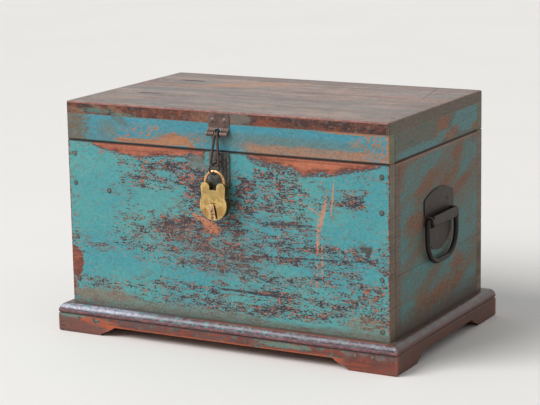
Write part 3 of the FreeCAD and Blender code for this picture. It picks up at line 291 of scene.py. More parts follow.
def long_board_paint(
        name, seed, worn_spots, clean_spots, bare_line, dark_line, bare_spots, strokes, stains):
    """Teal paint over dark primer over orange-brown wood, worn most in the given spots.

    Each spot has x, z, half width and half height, then its amount, or for a bare one its raggedness.
    Above one line of points in millimetres the wood is bare, and above the other the primer shows.
    A stroke has start, end, half thickness, gaps, amount and colour.
    A stain has x, z, half width, half height, raggedness, amount and colour.
    """
    t = Tree(name)
    uv = t.flat(t.x, t.z)
    wobble = t.noise(26, 5, 0.6, 0, seed)
    jagged = t.noise((110, 110, 170), 5, 0.65, 0.3, seed)
    fleck = t.noise((250, 250, 440), 3, 0.6, 0.3, seed)
    streak = t.noise((70, 70, 300), 4, 0.62, 0.4, seed)
    blotch = t.noise((34, 34, 84), 4, 0.66, 0.5, seed)
    hue = t.noise((75, 75, 120), 4, 0.7, 0.4, (4, 2, 8))
    colour = t.two(t.noise((5, 5, 9), 3, 0.5, 0, seed), 0.35, 0.65, (64, 141, 149), (80, 150, 149))
    colour = t.over(colour, t.step(streak, 0.5, 0.7), 0.6, (98, 142, 138))

    def spread(spots, stray, soft):
        return t.any_of(t.times(t.blot(uv, (x, z), (wide, tall), wobble, stray, soft), amount)
                        for x, z, wide, tall, amount in spots)

    worn = spread(worn_spots, 0.5, 0.6)
    clean = spread(clean_spots, 0.4, 0.4)
    everywhere = t.between(t.step(t.z, 0.25, 0.17), 0.5, 0.66)
    density = t.without(t.either(worn, everywhere), clean)
    pattern = t.total((blotch, 0.24), (streak, 0.3), (fleck, 0.46))
    haze = t.step(t.moved(t.blend(blotch, streak, 0.6), density, 0.16), 0.54, 0.71)
    colour = t.over(colour, haze, 0.72, (112, 106, 99))
    chips = t.step(t.moved(pattern, density, 0.146), 0.618, 0.634)
    dark = t.two(hue, 0.46, 0.6, (46, 44, 54), (90, 68, 62))
    colour = t.mix(chips, colour, dark)
    grit = t.noise((190, 190, 300), 3, 0.6, 0.3, (1, 6, 3))
    speck = t.step(t.moved(t.blend(hue, grit, 0.4), density, 0.07), 0.626, 0.638)
    colour = t.mix(speck, colour, t.mix(wobble, (194, 106, 74), (150, 80, 60)))

    edge = t.calc("SUBTRACT", t.moved(t.z, jagged, 0.007), 0.0035)
    fringe = t.step(t.calc("SUBTRACT", edge, t.line(t.x, dark_line)), -0.0006, 0.0006)
    broken = t.step(t.blend(fleck, hue, 0.6), 0.44, 0.47)
    colour = t.over(colour, fringe, broken, t.mix(grit, (56, 48, 56), (104, 86, 80)))
    above = t.calc("SUBTRACT", edge, t.line(t.x, bare_line))
    spots = t.any_of(t.blot(uv, (x, z), (wide, tall), jagged, ragged)
                     for x, z, wide, tall, ragged in bare_spots)
    bare = t.either(t.step(above, -0.0005, 0.0005), spots)
    wood, _ = bare_wood(t, "x", (178, 104, 76), (128, 70, 54))
    charred = t.step(above, 0.011, 0.0005)
    wood = t.over(wood, charred, t.step(t.blend(wobble, streak), 0.42, 0.56), (96, 52, 44))
    colour = t.mix(bare, colour, wood)

    for start, end, half, gaps, amount, tone in strokes:
        torn = t.times(t.stroke(uv, start, end, half, jagged), t.step(grit, gaps, gaps + 0.06))
        colour = t.over(colour, torn, amount, tone)
    for x, z, wide, tall, ragged, amount, tone in stains:
        colour = t.over(colour, t.blot(uv, (x, z), (wide, tall), jagged, ragged, 0.3), amount, tone)

    rim = t.step(t.moved(t.far(t.x), jagged, 0.014), half_width + 0.0043, half_width + 0.0053)
    colour = t.over(colour, rim, 0.9, t.two(grit, 0.48, 0.58, (72, 42, 36), (168, 82, 54)))
    low = t.step(t.moved(t.z, wobble, -0.02), plinth_top + 0.004, plinth_top - 0.006)
    colour = t.over(colour, low, 0.7, (104, 102, 90))
    colour = mottled(t, colour, 0.22)
    # Painted shade and dirt along the joint of lid and body.
    colour = seam_shade_and_dirt(t, colour, jagged, body_top - 0.0022, body_top - 0.0013)
    colour = board_inside(t, colour)
    gone = t.either(chips, bare, speck)
    height = t.total((wobble, 0.3), (fleck, -0.5))
    return t.finish(colour, t.between(gone, 0.42, 0.66), height, 0.0006, level=0.3)


def front_paint():
    """The front, with the wear where the photograph shows it."""
    worn = (
        (-0.11, 0.302, 0.11, 0.014, 0.9), (-0.05, 0.28, 0.045, 0.03, 1.0),
        (-0.14, 0.272, 0.075, 0.02, 0.8), (-0.05, 0.245, 0.03, 0.05, 0.95),
        (0.045, 0.262, 0.028, 0.045, 0.95), (0.11, 0.3, 0.08, 0.014, 0.9),
        (0.115, 0.272, 0.06, 0.02, 0.86), (0.235, 0.266, 0.03, 0.014, 1.0),
        (0.1, 0.248, 0.08, 0.012, 0.78), (-0.06, 0.2, 0.085, 0.034, 1.05),
        (-0.1, 0.186, 0.1, 0.015, 0.84), (-0.18, 0.186, 0.05, 0.016, 0.62),
        (0.0, 0.17, 0.08, 0.024, 1.02), (0.0, 0.205, 0.05, 0.03, 0.97), (0.12, 0.22, 0.07, 0.01, 0.9),
        (0.14, 0.19, 0.07, 0.016, 0.84), (0.22, 0.184, 0.05, 0.012, 0.9),
        (0.262, 0.176, 0.03, 0.014, 0.92), (0.08, 0.162, 0.09, 0.014, 0.9),
        (-0.02, 0.14, 0.11, 0.012, 0.9), (0.185, 0.14, 0.03, 0.008, 0.9),
        (0.06, 0.126, 0.05, 0.008, 0.84), (0.268, 0.125, 0.03, 0.018, 0.9),
        (-0.03, 0.1, 0.075, 0.009, 0.8), (0.1, 0.103, 0.075, 0.009, 1.0), (0.23, 0.1, 0.07, 0.016, 0.86),
        (-0.02, 0.078, 0.13, 0.014, 0.73), (0.13, 0.078, 0.09, 0.011, 0.95),
        (0.27, 0.08, 0.035, 0.018, 0.96), (0.04, 0.066, 0.12, 0.008, 0.78))
    clean = (
        (-0.133, 0.243, 0.042, 0.014, 0.8), (-0.25, 0.24, 0.045, 0.09, 0.85),
        (0.045, 0.312, 0.013, 0.015, 1.0), (0.24, 0.226, 0.065, 0.026, 0.7),
        (0.13, 0.147, 0.04, 0.008, 0.7), (-0.21, 0.122, 0.08, 0.024, 0.75),
        (-0.06, 0.118, 0.08, 0.008, 0.7), (0.16, 0.06, 0.12, 0.005, 0.6), (0.2, 0.296, 0.07, 0.008, 0.6),
        (0.279, 0.262, 0.017, 0.055, 0.85), (0.272, 0.152, 0.018, 0.014, 0.5))
    bare_line = (
        (-300, 334), (-263, 334), (-239, 325), (-218, 320), (-197, 317), (-177, 314), (-156, 313),
        (-135, 315), (-114, 318), (-94, 320), (-73, 321), (-57, 326), (-47, 322), (-34, 319), (-31, 334),
        (48, 334), (52, 328), (71, 324), (90, 320), (110, 318), (129, 316), (138, 310), (151, 305),
        (166, 310), (185, 313), (200, 309), (213, 315), (228, 320), (250, 321), (268, 325), (284, 330),
        (288, 334), (300, 334))
    dark_line = (
        (-300, 334), (-266, 334), (-239, 322), (-197, 314), (-156, 310), (-114, 315), (-73, 317),
        (-57, 312), (-33, 309), (-28, 334), (40, 334), (48, 323), (67, 313), (90, 311), (119, 309),
        (138, 305), (166, 303), (200, 306), (241, 316), (268, 321), (286, 326), (292, 334), (300, 334))
    bare = ((-0.297, 0.122, 0.02, 0.028, 0.35), (-0.301, 0.08, 0.008, 0.016, 0.6))
    tan, mark_tone = (200, 124, 84), (50, 46, 54)
    strokes = (
        ((0.204, 0.306), (0.197, 0.238), 0.0012, 0.4, 0.85, tan),
        ((0.19, 0.275), (0.177, 0.215), 0.0034, 0.42, 0.8, tan),
        ((0.176, 0.24), (0.173, 0.178), 0.003, 0.42, 0.8, tan),
        ((0.181, 0.205), (0.181, 0.136), 0.0016, 0.46, 0.8, tan),
        ((0.172, 0.17), (0.17, 0.118), 0.0018, 0.5, 0.75, tan),
        ((0.14, 0.262), (0.178, 0.243), 0.0012, 0.44, 0.7, tan),
        ((0.06, 0.2205), (0.172, 0.2225), 0.0018, 0.42, 0.85, mark_tone),
        ((0.056, 0.164), (0.255, 0.1735), 0.0017, 0.4, 0.9, mark_tone),
        ((-0.012, 0.1035), (0.125, 0.101), 0.0022, 0.36, 0.95, mark_tone),
        ((0.028, 0.137), (0.115, 0.117), 0.0014, 0.44, 0.9, mark_tone),
        ((-0.038, 0.213), (-0.005, 0.199), 0.009, 0.4, 0.8, tan),
        ((-0.058, 0.223), (-0.028, 0.215), 0.004, 0.43, 0.8, tan),
        ((-0.264, 0.152), (-0.222, 0.158), 0.0034, 0.45, 0.8, (96, 62, 58)))
    stains = (
        (0.2575, 0.195, 0.011, 0.0055, 1.3, 1.0, (66, 68, 64)),
        (0.262, 0.189, 0.0045, 0.008, 1.3, 1.0, (66, 68, 64)),
        (-0.045, 0.311, 0.013, 0.012, 0.7, 0.75, (104, 106, 98)),
        (-0.05, 0.188, 0.11, 0.026, 0.8, 0.2, (110, 80, 72)),
        (0.0, 0.15, 0.09, 0.03, 0.8, 0.2, (104, 88, 82)),
        (0.262, 0.068, 0.045, 0.018, 0.9, 0.4, (128, 108, 86)),
        (-0.24, 0.067, 0.07, 0.011, 0.7, 0.75, (124, 110, 94)),
        (-0.08, 0.06, 0.16, 0.007, 0.6, 0.5, (112, 118, 104)))
    nail_rings = (
        (-nail_out, 0.3085, 0.55), (-nail_out, 0.2583, 0.6), (-nail_out, 0.1645, 0.6),
        (-nail_out, 0.0914, 0.5), (-0.219, 0.2496, 0.9), (nail_out, 0.3117, 0.95),
        (nail_out, 0.2554, 0.95), (nail_out, 0.148, 0.85), (nail_out, 0.0638, 0.8))
    stains += tuple((x, z, 0.0044, 0.0046, 0.35, amount, (52, 40, 36)) for x, z, amount in nail_rings)
    return long_board_paint(
        "front_paint", (0, 0, 0), worn, clean, bare_line, dark_line, bare, strokes, stains)


def back_paint():
    """The back, which the photograph doesn't show: the same paint with milder wear."""
    worn = (
        (0.12, 0.29, 0.16, 0.024, 0.7), (-0.14, 0.24, 0.12, 0.03, 0.6), (0.06, 0.16, 0.2, 0.03, 0.65),
        (-0.12, 0.09, 0.16, 0.02, 0.75), (0.2, 0.1, 0.08, 0.03, 0.6))
    clean = ((0.0, 0.2, 0.12, 0.014, 0.7), (-0.2, 0.16, 0.06, 0.02, 0.6))
    bare_line = ((-300, 334), (-60, 334), (-20, 327), (40, 322), (90, 325), (130, 334), (300, 334))
    dark_line = ((-300, 334), (-70, 334), (-20, 325), (40, 319), (95, 322), (138, 334), (300, 334))
    bare = ((0.3, 0.11, 0.014, 0.03, 0.5), (-0.3, 0.2, 0.008, 0.02, 0.6))
    strokes = (
        ((-0.12, 0.24), (-0.125, 0.17), 0.0018, 0.42, 0.8, (200, 124, 84)),
        ((-0.05, 0.108), (0.11, 0.112), 0.0016, 0.4, 0.9, (50, 46, 54)))
    stains = ((0.1, 0.06, 0.2, 0.014, 0.8, 0.7, (108, 94, 76)),)
    return long_board_paint(
        "back_paint", (7, 3, 5), worn, clean, bare_line, dark_line, bare, strokes, stains)


def end_paint():
    """The end boards: dulled teal under slanting brown and rust wear.

    Each spot has its centre, its half width and half height, and its turn in degrees.
    """
    t = Tree("end_paint")
    uv = t.flat(t.y, t.z)
    lines, _ = grain(t, "y")
    lean = t.flat(t.moved(t.y, t.z, 0.36), t.moved(t.z, t.y, -0.36))
    sweep = t.noise((9, 30, 1), 5, 0.62, 0.8, (3, 2, 0), lean)
    smear = t.noise((22, 70, 1), 5, 0.68, 0.5, (7, 4, 0), lean)
    jagged = t.noise((60, 60, 80), 5, 0.68, 0.4)
    fine = t.noise((210, 210, 420), 3, 0.6)
    colour = t.two(sweep, 0.38, 0.6, (84, 104, 96), (104, 92, 76))
    colour = t.over(colour, t.step(smear, 0.52, 0.62), 0.6, (116, 82, 66))
    teal_spots = (
        ((-0.05, 0.309), (0.09, 0.015), 4), ((-0.1, 0.288), (0.05, 0.016), 15),
        ((0.135, 0.295), (0.05, 0.024), 20), ((0.128, 0.19), (0.06, 0.04), 20),
        ((0.1, 0.16), (0.05, 0.03), 20), ((-0.135, 0.1), (0.045, 0.035), 10),
        ((-0.08, 0.135), (0.075, 0.022), 20), ((-0.02, 0.155), (0.06, 0.014), 20),
        ((-0.14, 0.185), (0.03, 0.028), 10), ((0.03, 0.12), (0.06, 0.014), 20),
        ((0.12, 0.085), (0.045, 0.014), 20), ((-0.12, 0.245), (0.04, 0.016), 20))
    teal = t.any_of(t.blot(uv, centre, radii, jagged, 0.8, 0.5, turn)
                    for centre, radii, turn in teal_spots)
    colour = t.over(colour, teal, t.between(t.step(smear, 0.42, 0.6), 0.92, 0.35), (72, 122, 122))
    bare_spots = (
        ((-0.142, 0.316), (0.016, 0.018), 0), ((-0.05, 0.274), (0.07, 0.014), 20),
        ((0.045, 0.275), (0.05, 0.012), 18), ((0.079, 0.31), (0.022, 0.012), 20),
        ((-0.088, 0.222), (0.032, 0.017), -8), ((0.1, 0.258), (0.06, 0.01), 20),
        ((-0.005, 0.09), (0.045, 0.016), 8), ((-0.055, 0.086), (0.03, 0.011), 5),
        ((0.082, 0.122), (0.024, 0.014), 10), ((0.085, 0.093), (0.03, 0.01), 10),
        ((0.148, 0.322), (0.014, 0.007), 10))
    bare = t.any_of(t.blot(uv, centre, radii, jagged, 1.2, 0.7, turn)
                    for centre, radii, turn in bare_spots)
    shown = t.between(t.step(smear, 0.4, 0.55), 0.35, 0.75)
    colour = t.over(colour, bare, shown, t.two(fine, 0.4, 0.62, (150, 92, 66), (110, 76, 60)))
    chips = t.step(t.blend(jagged, fine), 0.56, 0.61)
    colour = t.over(colour, chips, 0.5, (70, 64, 58))
    scrape = t.step(t.blend(smear, fine), 0.42, 0.38)
    colour = t.over(colour, scrape, 0.35, (120, 136, 124))
    front_band = t.step(t.moved(t.y, jagged, 0.02), 0.056 - half_depth, 0.042 - half_depth)
    colour = t.over(colour, front_band, 0.75, t.two(lines, 0.45, 0.6, (112, 84, 68), (88, 70, 58)))
    rear_band = t.step(t.moved(t.y, jagged, 0.012), half_depth - 0.016, half_depth - 0.008)
    colour = t.over(colour, rear_band, 0.7, (88, 66, 56))
    low = t.step(t.moved(t.z, jagged, -0.03), plinth_top + 0.031, plinth_top - 0.011)
    colour = t.over(colour, low, 0.8, (72, 56, 46))
    high = t.step(t.moved(t.z, jagged, 0.01), body_top - 0.0028, body_top + 0.0032)
    colour = t.over(colour, high, 0.75, (150, 98, 76))
    colour = mottled(t, colour, 0.25)
    # Painted shade and dirt along the joint of lid and body.
    colour = seam_shade_and_dirt(t, colour, jagged, body_top - 0.0022, body_top - 0.0013)
    colour, _ = end_inside(t, colour)
    height = t.total((lines, 0.25), (jagged, 0.3), (fine, -0.3))
    return t.finish(colour, t.between(bare, 0.5, 0.68), height, 0.0006, level=0.22)


def lid_front_paint():
    """The lid's long rails: bluer paint with tan wear and a worn right end."""
    t = Tree("lid_front_paint")
    uv = t.flat(t.x, t.z)
    wobble = t.noise((26, 26, 60), 5, 0.6)
    jagged = t.noise((110, 110, 190), 5, 0.68, 0.4)
    streak = t.noise((16, 60, 300), 5, 0.65, 0.3)
    fine = t.noise((260, 260, 420), 3, 0.6)
    squiggle = t.noise((120, 120, 150), 3, 0.55, 1.2, (2, 9, 4))
    colour = t.two(streak, 0.36, 0.64, (54, 126, 146), (70, 132, 140))
    bright = t.times(t.step(t.z, rail_top - 0.022, rail_top - 0.006), t.step(wobble, 0.4, 0.6))
    colour = t.over(colour, bright, 0.6, (54, 142, 158))
    grey = t.blots(
        uv, ((0.1, 0.352), (0.15, 0.012), wobble, 0.6, 0.7),
        ((-0.22, 0.35), (0.02, 0.02), jagged, 1.0, 0.6))
    colour = t.over(colour, grey, 0.65, t.two(streak, 0.4, 0.6, (90, 112, 106), (102, 100, 86)))
    end = t.step(t.moved(t.x, jagged, 0.09), 0.1 - half_width, 0.07 - half_width)
    end = t.times(end, t.between(t.step(t.blend(streak, fine, 0.6), 0.46, 0.54), 1.0, 0.8))
    colour = t.mix(end, colour, t.two(squiggle, 0.42, 0.56, (88, 88, 74), (106, 86, 68)))
    olive = t.blot(uv, (-0.195, 0.372), (0.018, 0.006), jagged, 1.2, 0.4, -25)
    colour = t.over(colour, olive, 0.6, (92, 88, 74))
    tan = t.blots(
        uv, ((-0.135, 0.3385), (0.075, 0.0045), wobble, 0.5, 0.15),
        ((-0.087, 0.3445), (0.03, 0.0085), jagged, 0.5, 0.12),
        ((-0.091, 0.351), (0.012, 0.006), jagged, 0.5, 0.12),
        ((-0.062, 0.34), (0.018, 0.0045), jagged, 0.8, 0.15, -28),
        ((0.235, 0.3765), (0.055, 0.0018), jagged, 1.2, 0.2),
        ((0.298, 0.356), (0.004, 0.03), squiggle, 1.5, 0.2))
    sparse = t.either(t.blot(uv, (-0.15, 0.354), (0.06, 0.016), wobble, 0.6, 0.5),
                      t.times(t.blot(uv, (-0.05, 0.345), (0.03, 0.014), wobble, 0.6, 0.5), 0.7))
    sparse = t.times(sparse, t.step(t.blend(squiggle, fine, 0.6), 0.53, 0.56))
    curls = t.times(t.blot(uv, (0.278, 0.356), (0.038, 0.03), wobble, 0.7, 0.35),
                    t.step(t.blend(squiggle, fine, 0.7), 0.505, 0.53))
    edge = t.step(t.moved(t.x, squiggle, 0.018), half_width + 0.0045, half_width + 0.0065)
    worn = t.either(tan, sparse, curls, edge)
    foot = t.step(t.moved(t.z, wobble, 0.018), lid_low + 0.0297, lid_low + 0.0229)
    foot = t.times(foot, t.step(t.x, 0.025, 0.06))
    foot = t.times(foot, t.between(t.step(t.x, half_width - 0.05, half_width - 0.025), 1.0, 0.35))
    foot = t.times(foot, t.between(t.step(streak, 0.44, 0.6), 0.95, 0.6))
    colour = t.mix(foot, colour, t.two(fine, 0.4, 0.6, (166, 116, 86), (138, 102, 82)))
    colour = t.over(colour, worn, 0.92, t.two(streak, 0.4, 0.6, (168, 113, 72), (146, 96, 66)))
    speck = t.step(t.blend(jagged, fine), 0.615, 0.635)
    colour = t.over(colour, speck, 0.6, (150, 118, 94))
    dark = t.step(t.blend(streak, fine), 0.595, 0.63)
    colour = t.over(colour, dark, 0.55, (54, 78, 84))
    top = t.step(t.moved(t.z, wobble, 0.006), rail_top + 0.0005, rail_top + 0.003)
    colour = t.over(colour, top, 0.6, (110, 84, 68))
    colour = mottled(t, colour, 0.22)
    # Painted shade and dirt along the joint of lid and body.
    colour = seam_shade_and_dirt(t, colour, jagged, lid_low + 0.0033, lid_low + 0.0023)
    flank = flanks(t)
    olive_wood, lines = bare_wood(t, "y", (112, 114, 90), (92, 94, 76))
    colour = t.mix(flank, colour, olive_wood)
    hidden = inner_faces(t, lid_low + 0.00045, lid_low + 0.0003)
    inner, _ = inner_wood(t, "x")
    colour = t.mix(t.without(hidden, flank), colour, inner)
    height = t.total((lines, 0.2), (squiggle, -0.4))
    return t.finish(colour, t.between(worn, 0.42, 0.62), height, 0.0005, level=0.35)


def lid_end_paint():
    """The lid's end rails: dark green-grey with a bluer rear and a rust patch."""
    t = Tree("lid_end_paint")
    uv = t.flat(t.y, t.z)
    wobble = t.noise((26, 26, 40), 5, 0.6, 0.4)
    jagged = t.noise((70, 70, 120), 5, 0.68, 0.3)
    streak = t.noise((60, 22, 220), 5, 0.65, 0.3)
    fine = t.noise((230, 230, 380), 3, 0.6)
    colour = t.two(wobble, 0.36, 0.62, (84, 94, 86), (96, 94, 80))
    blue = t.either(t.blot(uv, (0.118, 0.362), (0.058, 0.022), wobble, 0.5, 0.15),
                    t.blot(uv, (-0.075, 0.339), (0.085, 0.0085), wobble, 0.6, 0.3),
                    t.times(t.blot(uv, (0.02, 0.347), (0.05, 0.008), wobble, 0.8, 0.4), 0.8))
    colour = t.over(colour, blue, 0.85, t.two(fine, 0.45, 0.65, (84, 132, 134), (70, 110, 112)))
    tan = t.blots(
        uv, ((0.022, 0.367), (0.026, 0.012), jagged, 0.9, 0.25),
        ((-0.005, 0.355), (0.014, 0.005), jagged, 0.9, 0.3, 30),
        ((0.055, 0.345), (0.03, 0.008), jagged, 1.1, 0.3, 10),
        ((0.155, 0.343), (0.014, 0.006), jagged, 0.9, 0.3))
    colour = t.over(colour, tan, 0.75, t.two(fine, 0.42, 0.62, (156, 102, 76), (120, 84, 66)))
    dark = t.step(t.blend(streak, fine, 0.6), 0.54, 0.6)
    colour = t.over(colour, dark, 0.5, (62, 64, 58))
    brown = t.step(t.moved(t.y, jagged, 0.008), half_depth - 0.016, half_depth - 0.01)
    colour = t.over(colour, brown, 0.7, (84, 70, 60))
    low = t.step(t.moved(t.z, jagged, 0.006), lid_low + 0.0064, lid_low + 0.0024)
    colour = t.over(colour, low, 0.5, (112, 84, 68))
    colour = mottled(t, colour, 0.25)
    # Painted shade and dirt along the joint of lid and body.
    colour = seam_shade_and_dirt(t, colour, jagged, lid_low + 0.0033, lid_low + 0.0023)
    colour, lines = end_inside(t, colour)
    height = t.total((lines, 0.2), (jagged, 0.3), (fine, -0.3))
    return t.finish(colour, t.between(tan, 0.5, 0.66), height, 0.0005, level=0.22)


def top_wood():
    """The lid's top: grey-brown worn boards with dark red-brown edges.

    Each bright spot on an edge has its centre and its half width and half height.
    """
    t = Tree("top_wood")
    uv = t.flat(t.x, t.z)
    lines, bands = grain(t, "x")
    wobble = t.noise(30, 5, 0.62, 0.3)
    jagged = t.noise((110, 110, 160), 5, 0.66, 0.3)
    wide = t.noise((4, 14, 4), 5, 0.6, 1.0, (4, 1, 2))
    cloud = t.noise((5, 24, 5), 5, 0.64, 1.4, (8, 3, 1))
    colour = t.two(bands, 0.34, 0.66, (152, 132, 122), (104, 90, 84))
    blotch = t.noise((16, 46, 16), 5, 0.68, 0.9, (2, 7, 5))
    colour = t.over(colour, t.step(blotch, 0.52, 0.62), 0.5, (100, 88, 85))
    colour = t.over(colour, t.step(blotch, 0.46, 0.38), 0.45, (172, 152, 142))
    colour = t.over(colour, t.step(wide, 0.49, 0.6), 0.55, (112, 118, 113))
    colour = t.over(colour, t.step(cloud, 0.53, 0.62), 0.5, (164, 124, 104))
    colour = t.over(colour, t.step(cloud, 0.45, 0.37), 0.5, (128, 102, 100))
    plan = t.flat(t.x, t.y)
    smear = t.blot(plan, (-0.1, 0.085), (0.1, 0.024), wobble, 0.8, 0.6, 25)
    colour = t.over(colour, smear, 0.5, (190, 136, 98))
    behind = t.either(t.step(t.y, half_depth - 0.054, half_depth - 0.014),
                      t.times(t.step(t.x, half_width - 0.1, half_width - 0.02), 0.6))
    colour = t.over(colour, behind, 0.5, (94, 84, 78))
    seam = t.far(t.add(t.y, -top_joint))
    glow = t.step(t.moved(seam, wobble, 0.008), 0.011, 0.004)
    colour = t.over(colour, glow, 0.55, (172, 128, 108))
    dull = t.step(t.moved(seam, jagged, 0.003), 0.0034, 0.0022)
    colour = t.over(colour, dull, 0.8, (112, 70, 58))
    colour = t.over(colour, t.step(lines, 0.48, 0.72), 0.55, (92, 76, 72))
    dents = t.step(t.noise(130, 3, 0.6, 0, (6, 6, 2)), 0.655, 0.69)
    colour = t.over(colour, dents, 0.6, (78, 60, 56))
    cracks = t.either(t.stroke(plan, (-0.237, -0.061), (-0.186, -0.056), 0.0045, jagged),
                      t.stroke(plan, (-0.246, 0.098), (-0.195, 0.096), 0.0065, jagged))
    colour = t.over(colour, cracks, 0.92, (46, 36, 36))
    colour = mottled(t, colour, 0.24)
    low = t.step(t.z, lid_top - 0.0025, lid_top - 0.0035)
    rim = t.step(t.moved(t.far(t.y), jagged, 0.006), half_depth + 0.0005, half_depth + 0.0028)
    colour = t.over(colour, rim, 0.85, t.two(jagged, 0.42, 0.56, (156, 84, 74), (120, 72, 66)))
    end_rim = t.step(t.moved(t.far(t.x), jagged, 0.006), half_width - 0.001, half_width + 0.003)
    colour = t.over(colour, end_rim, 0.5, (132, 78, 66))
    edge = t.two(wobble, 0.42, 0.58, (96, 58, 46), (62, 42, 38))
    ember = t.two(wobble, 0.42, 0.58, (158, 80, 50), (116, 66, 48))
    edge = t.over(edge, t.step(jagged, 0.545, 0.585), 0.5, ember)
    bright_spots = (
        ((-0.085, 0.386), (0.05, 0.01)), ((-0.15, 0.385), (0.03, 0.006)),
        ((0.15, 0.3798), (0.1, 0.0026)), ((0.1, 0.385), (0.04, 0.004)), ((0.262, 0.391), (0.03, 0.004)),
        ((0.298, 0.385), (0.005, 0.012)))
    orange = t.any_of(t.blot(uv, centre, radii, jagged, 1.2, 0.2) for centre, radii in bright_spots)
    edge = t.over(edge, orange, t.between(t.step(jagged, 0.52, 0.46), 0.1, 0.9), ember)
    edge = t.over(edge, t.step(jagged, 0.455, 0.42), 0.7, (46, 36, 40))
    tawny = t.blots(
        uv, ((-0.035, 0.386), (0.02, 0.009), wobble, 0.8, 0.3),
        ((-0.284, 0.3835), (0.024, 0.0055), jagged, 1.0, 0.2, -12),
        ((-0.198, 0.386), (0.022, 0.005), jagged, 1.2, 0.2, -25),
        ((-0.235, 0.389), (0.02, 0.003), jagged, 1.2, 0.2, -20))
    edge = t.over(edge, tawny, 0.8, t.two(jagged, 0.44, 0.56, (136, 92, 68), (104, 74, 62)))
    teal = t.blots(
        uv, ((-0.242, 0.3845), (0.035, 0.005), jagged, 1.3, 0.2),
        ((-0.19, 0.3805), (0.026, 0.003), jagged, 1.4, 0.2))
    edge = t.over(edge, teal, t.between(t.step(jagged, 0.46, 0.54), 0.75, 0.2), (82, 118, 108))
    grey = t.either(t.blot(uv, (0.032, 0.387), (0.024, 0.01), jagged, 1.1, 0.3),
                    t.times(t.step(t.noise((90, 90, 120), 4, 0.7, 0, (5, 8, 2)), 0.57, 0.6), 0.6))
    edge = t.over(edge, grey, 0.65, (112, 108, 102))
    # A painted highlight: a paler red line along the rounded top arris of the edge.
    arris = t.step(t.moved(t.z, jagged, -0.004), lid_top - 0.0046, lid_top - 0.0036)
    edge = t.over(edge, arris, 0.55, (140, 78, 66))
    ends = t.step(t.far(t.x), half_width - 0.0035, half_width - 0.002)
    end_grain = t.noise((40, 40, 300), 4, 0.65, 0.3, (2, 2, 6))
    flank = t.two(wobble, 0.42, 0.62, (98, 80, 66), (90, 84, 68))
    flank = t.over(flank, t.step(end_grain, 0.45, 0.62), 0.6, (68, 56, 48))
    flank = t.over(flank, t.step(jagged, 0.57, 0.63), 0.7, (86, 108, 96))
    edge = t.mix(ends, edge, flank)
    end_low = t.times(ends, t.step(t.z, lid_top - 0.0008, lid_top - 0.0018))
    colour = t.mix(t.either(low, end_low), colour, edge)
    under = t.step(t.z, rail_top + 0.0004, rail_top + 0.0001)
    inner, _ = inner_wood(t, "x")
    colour = t.mix(under, colour, inner)
    height = t.total((lines, 0.35), (jagged, 0.3), (dents, -0.5))
    return t.finish(colour, t.between(wobble, 0.4, 0.6), height, 0.0006, level=0.28)


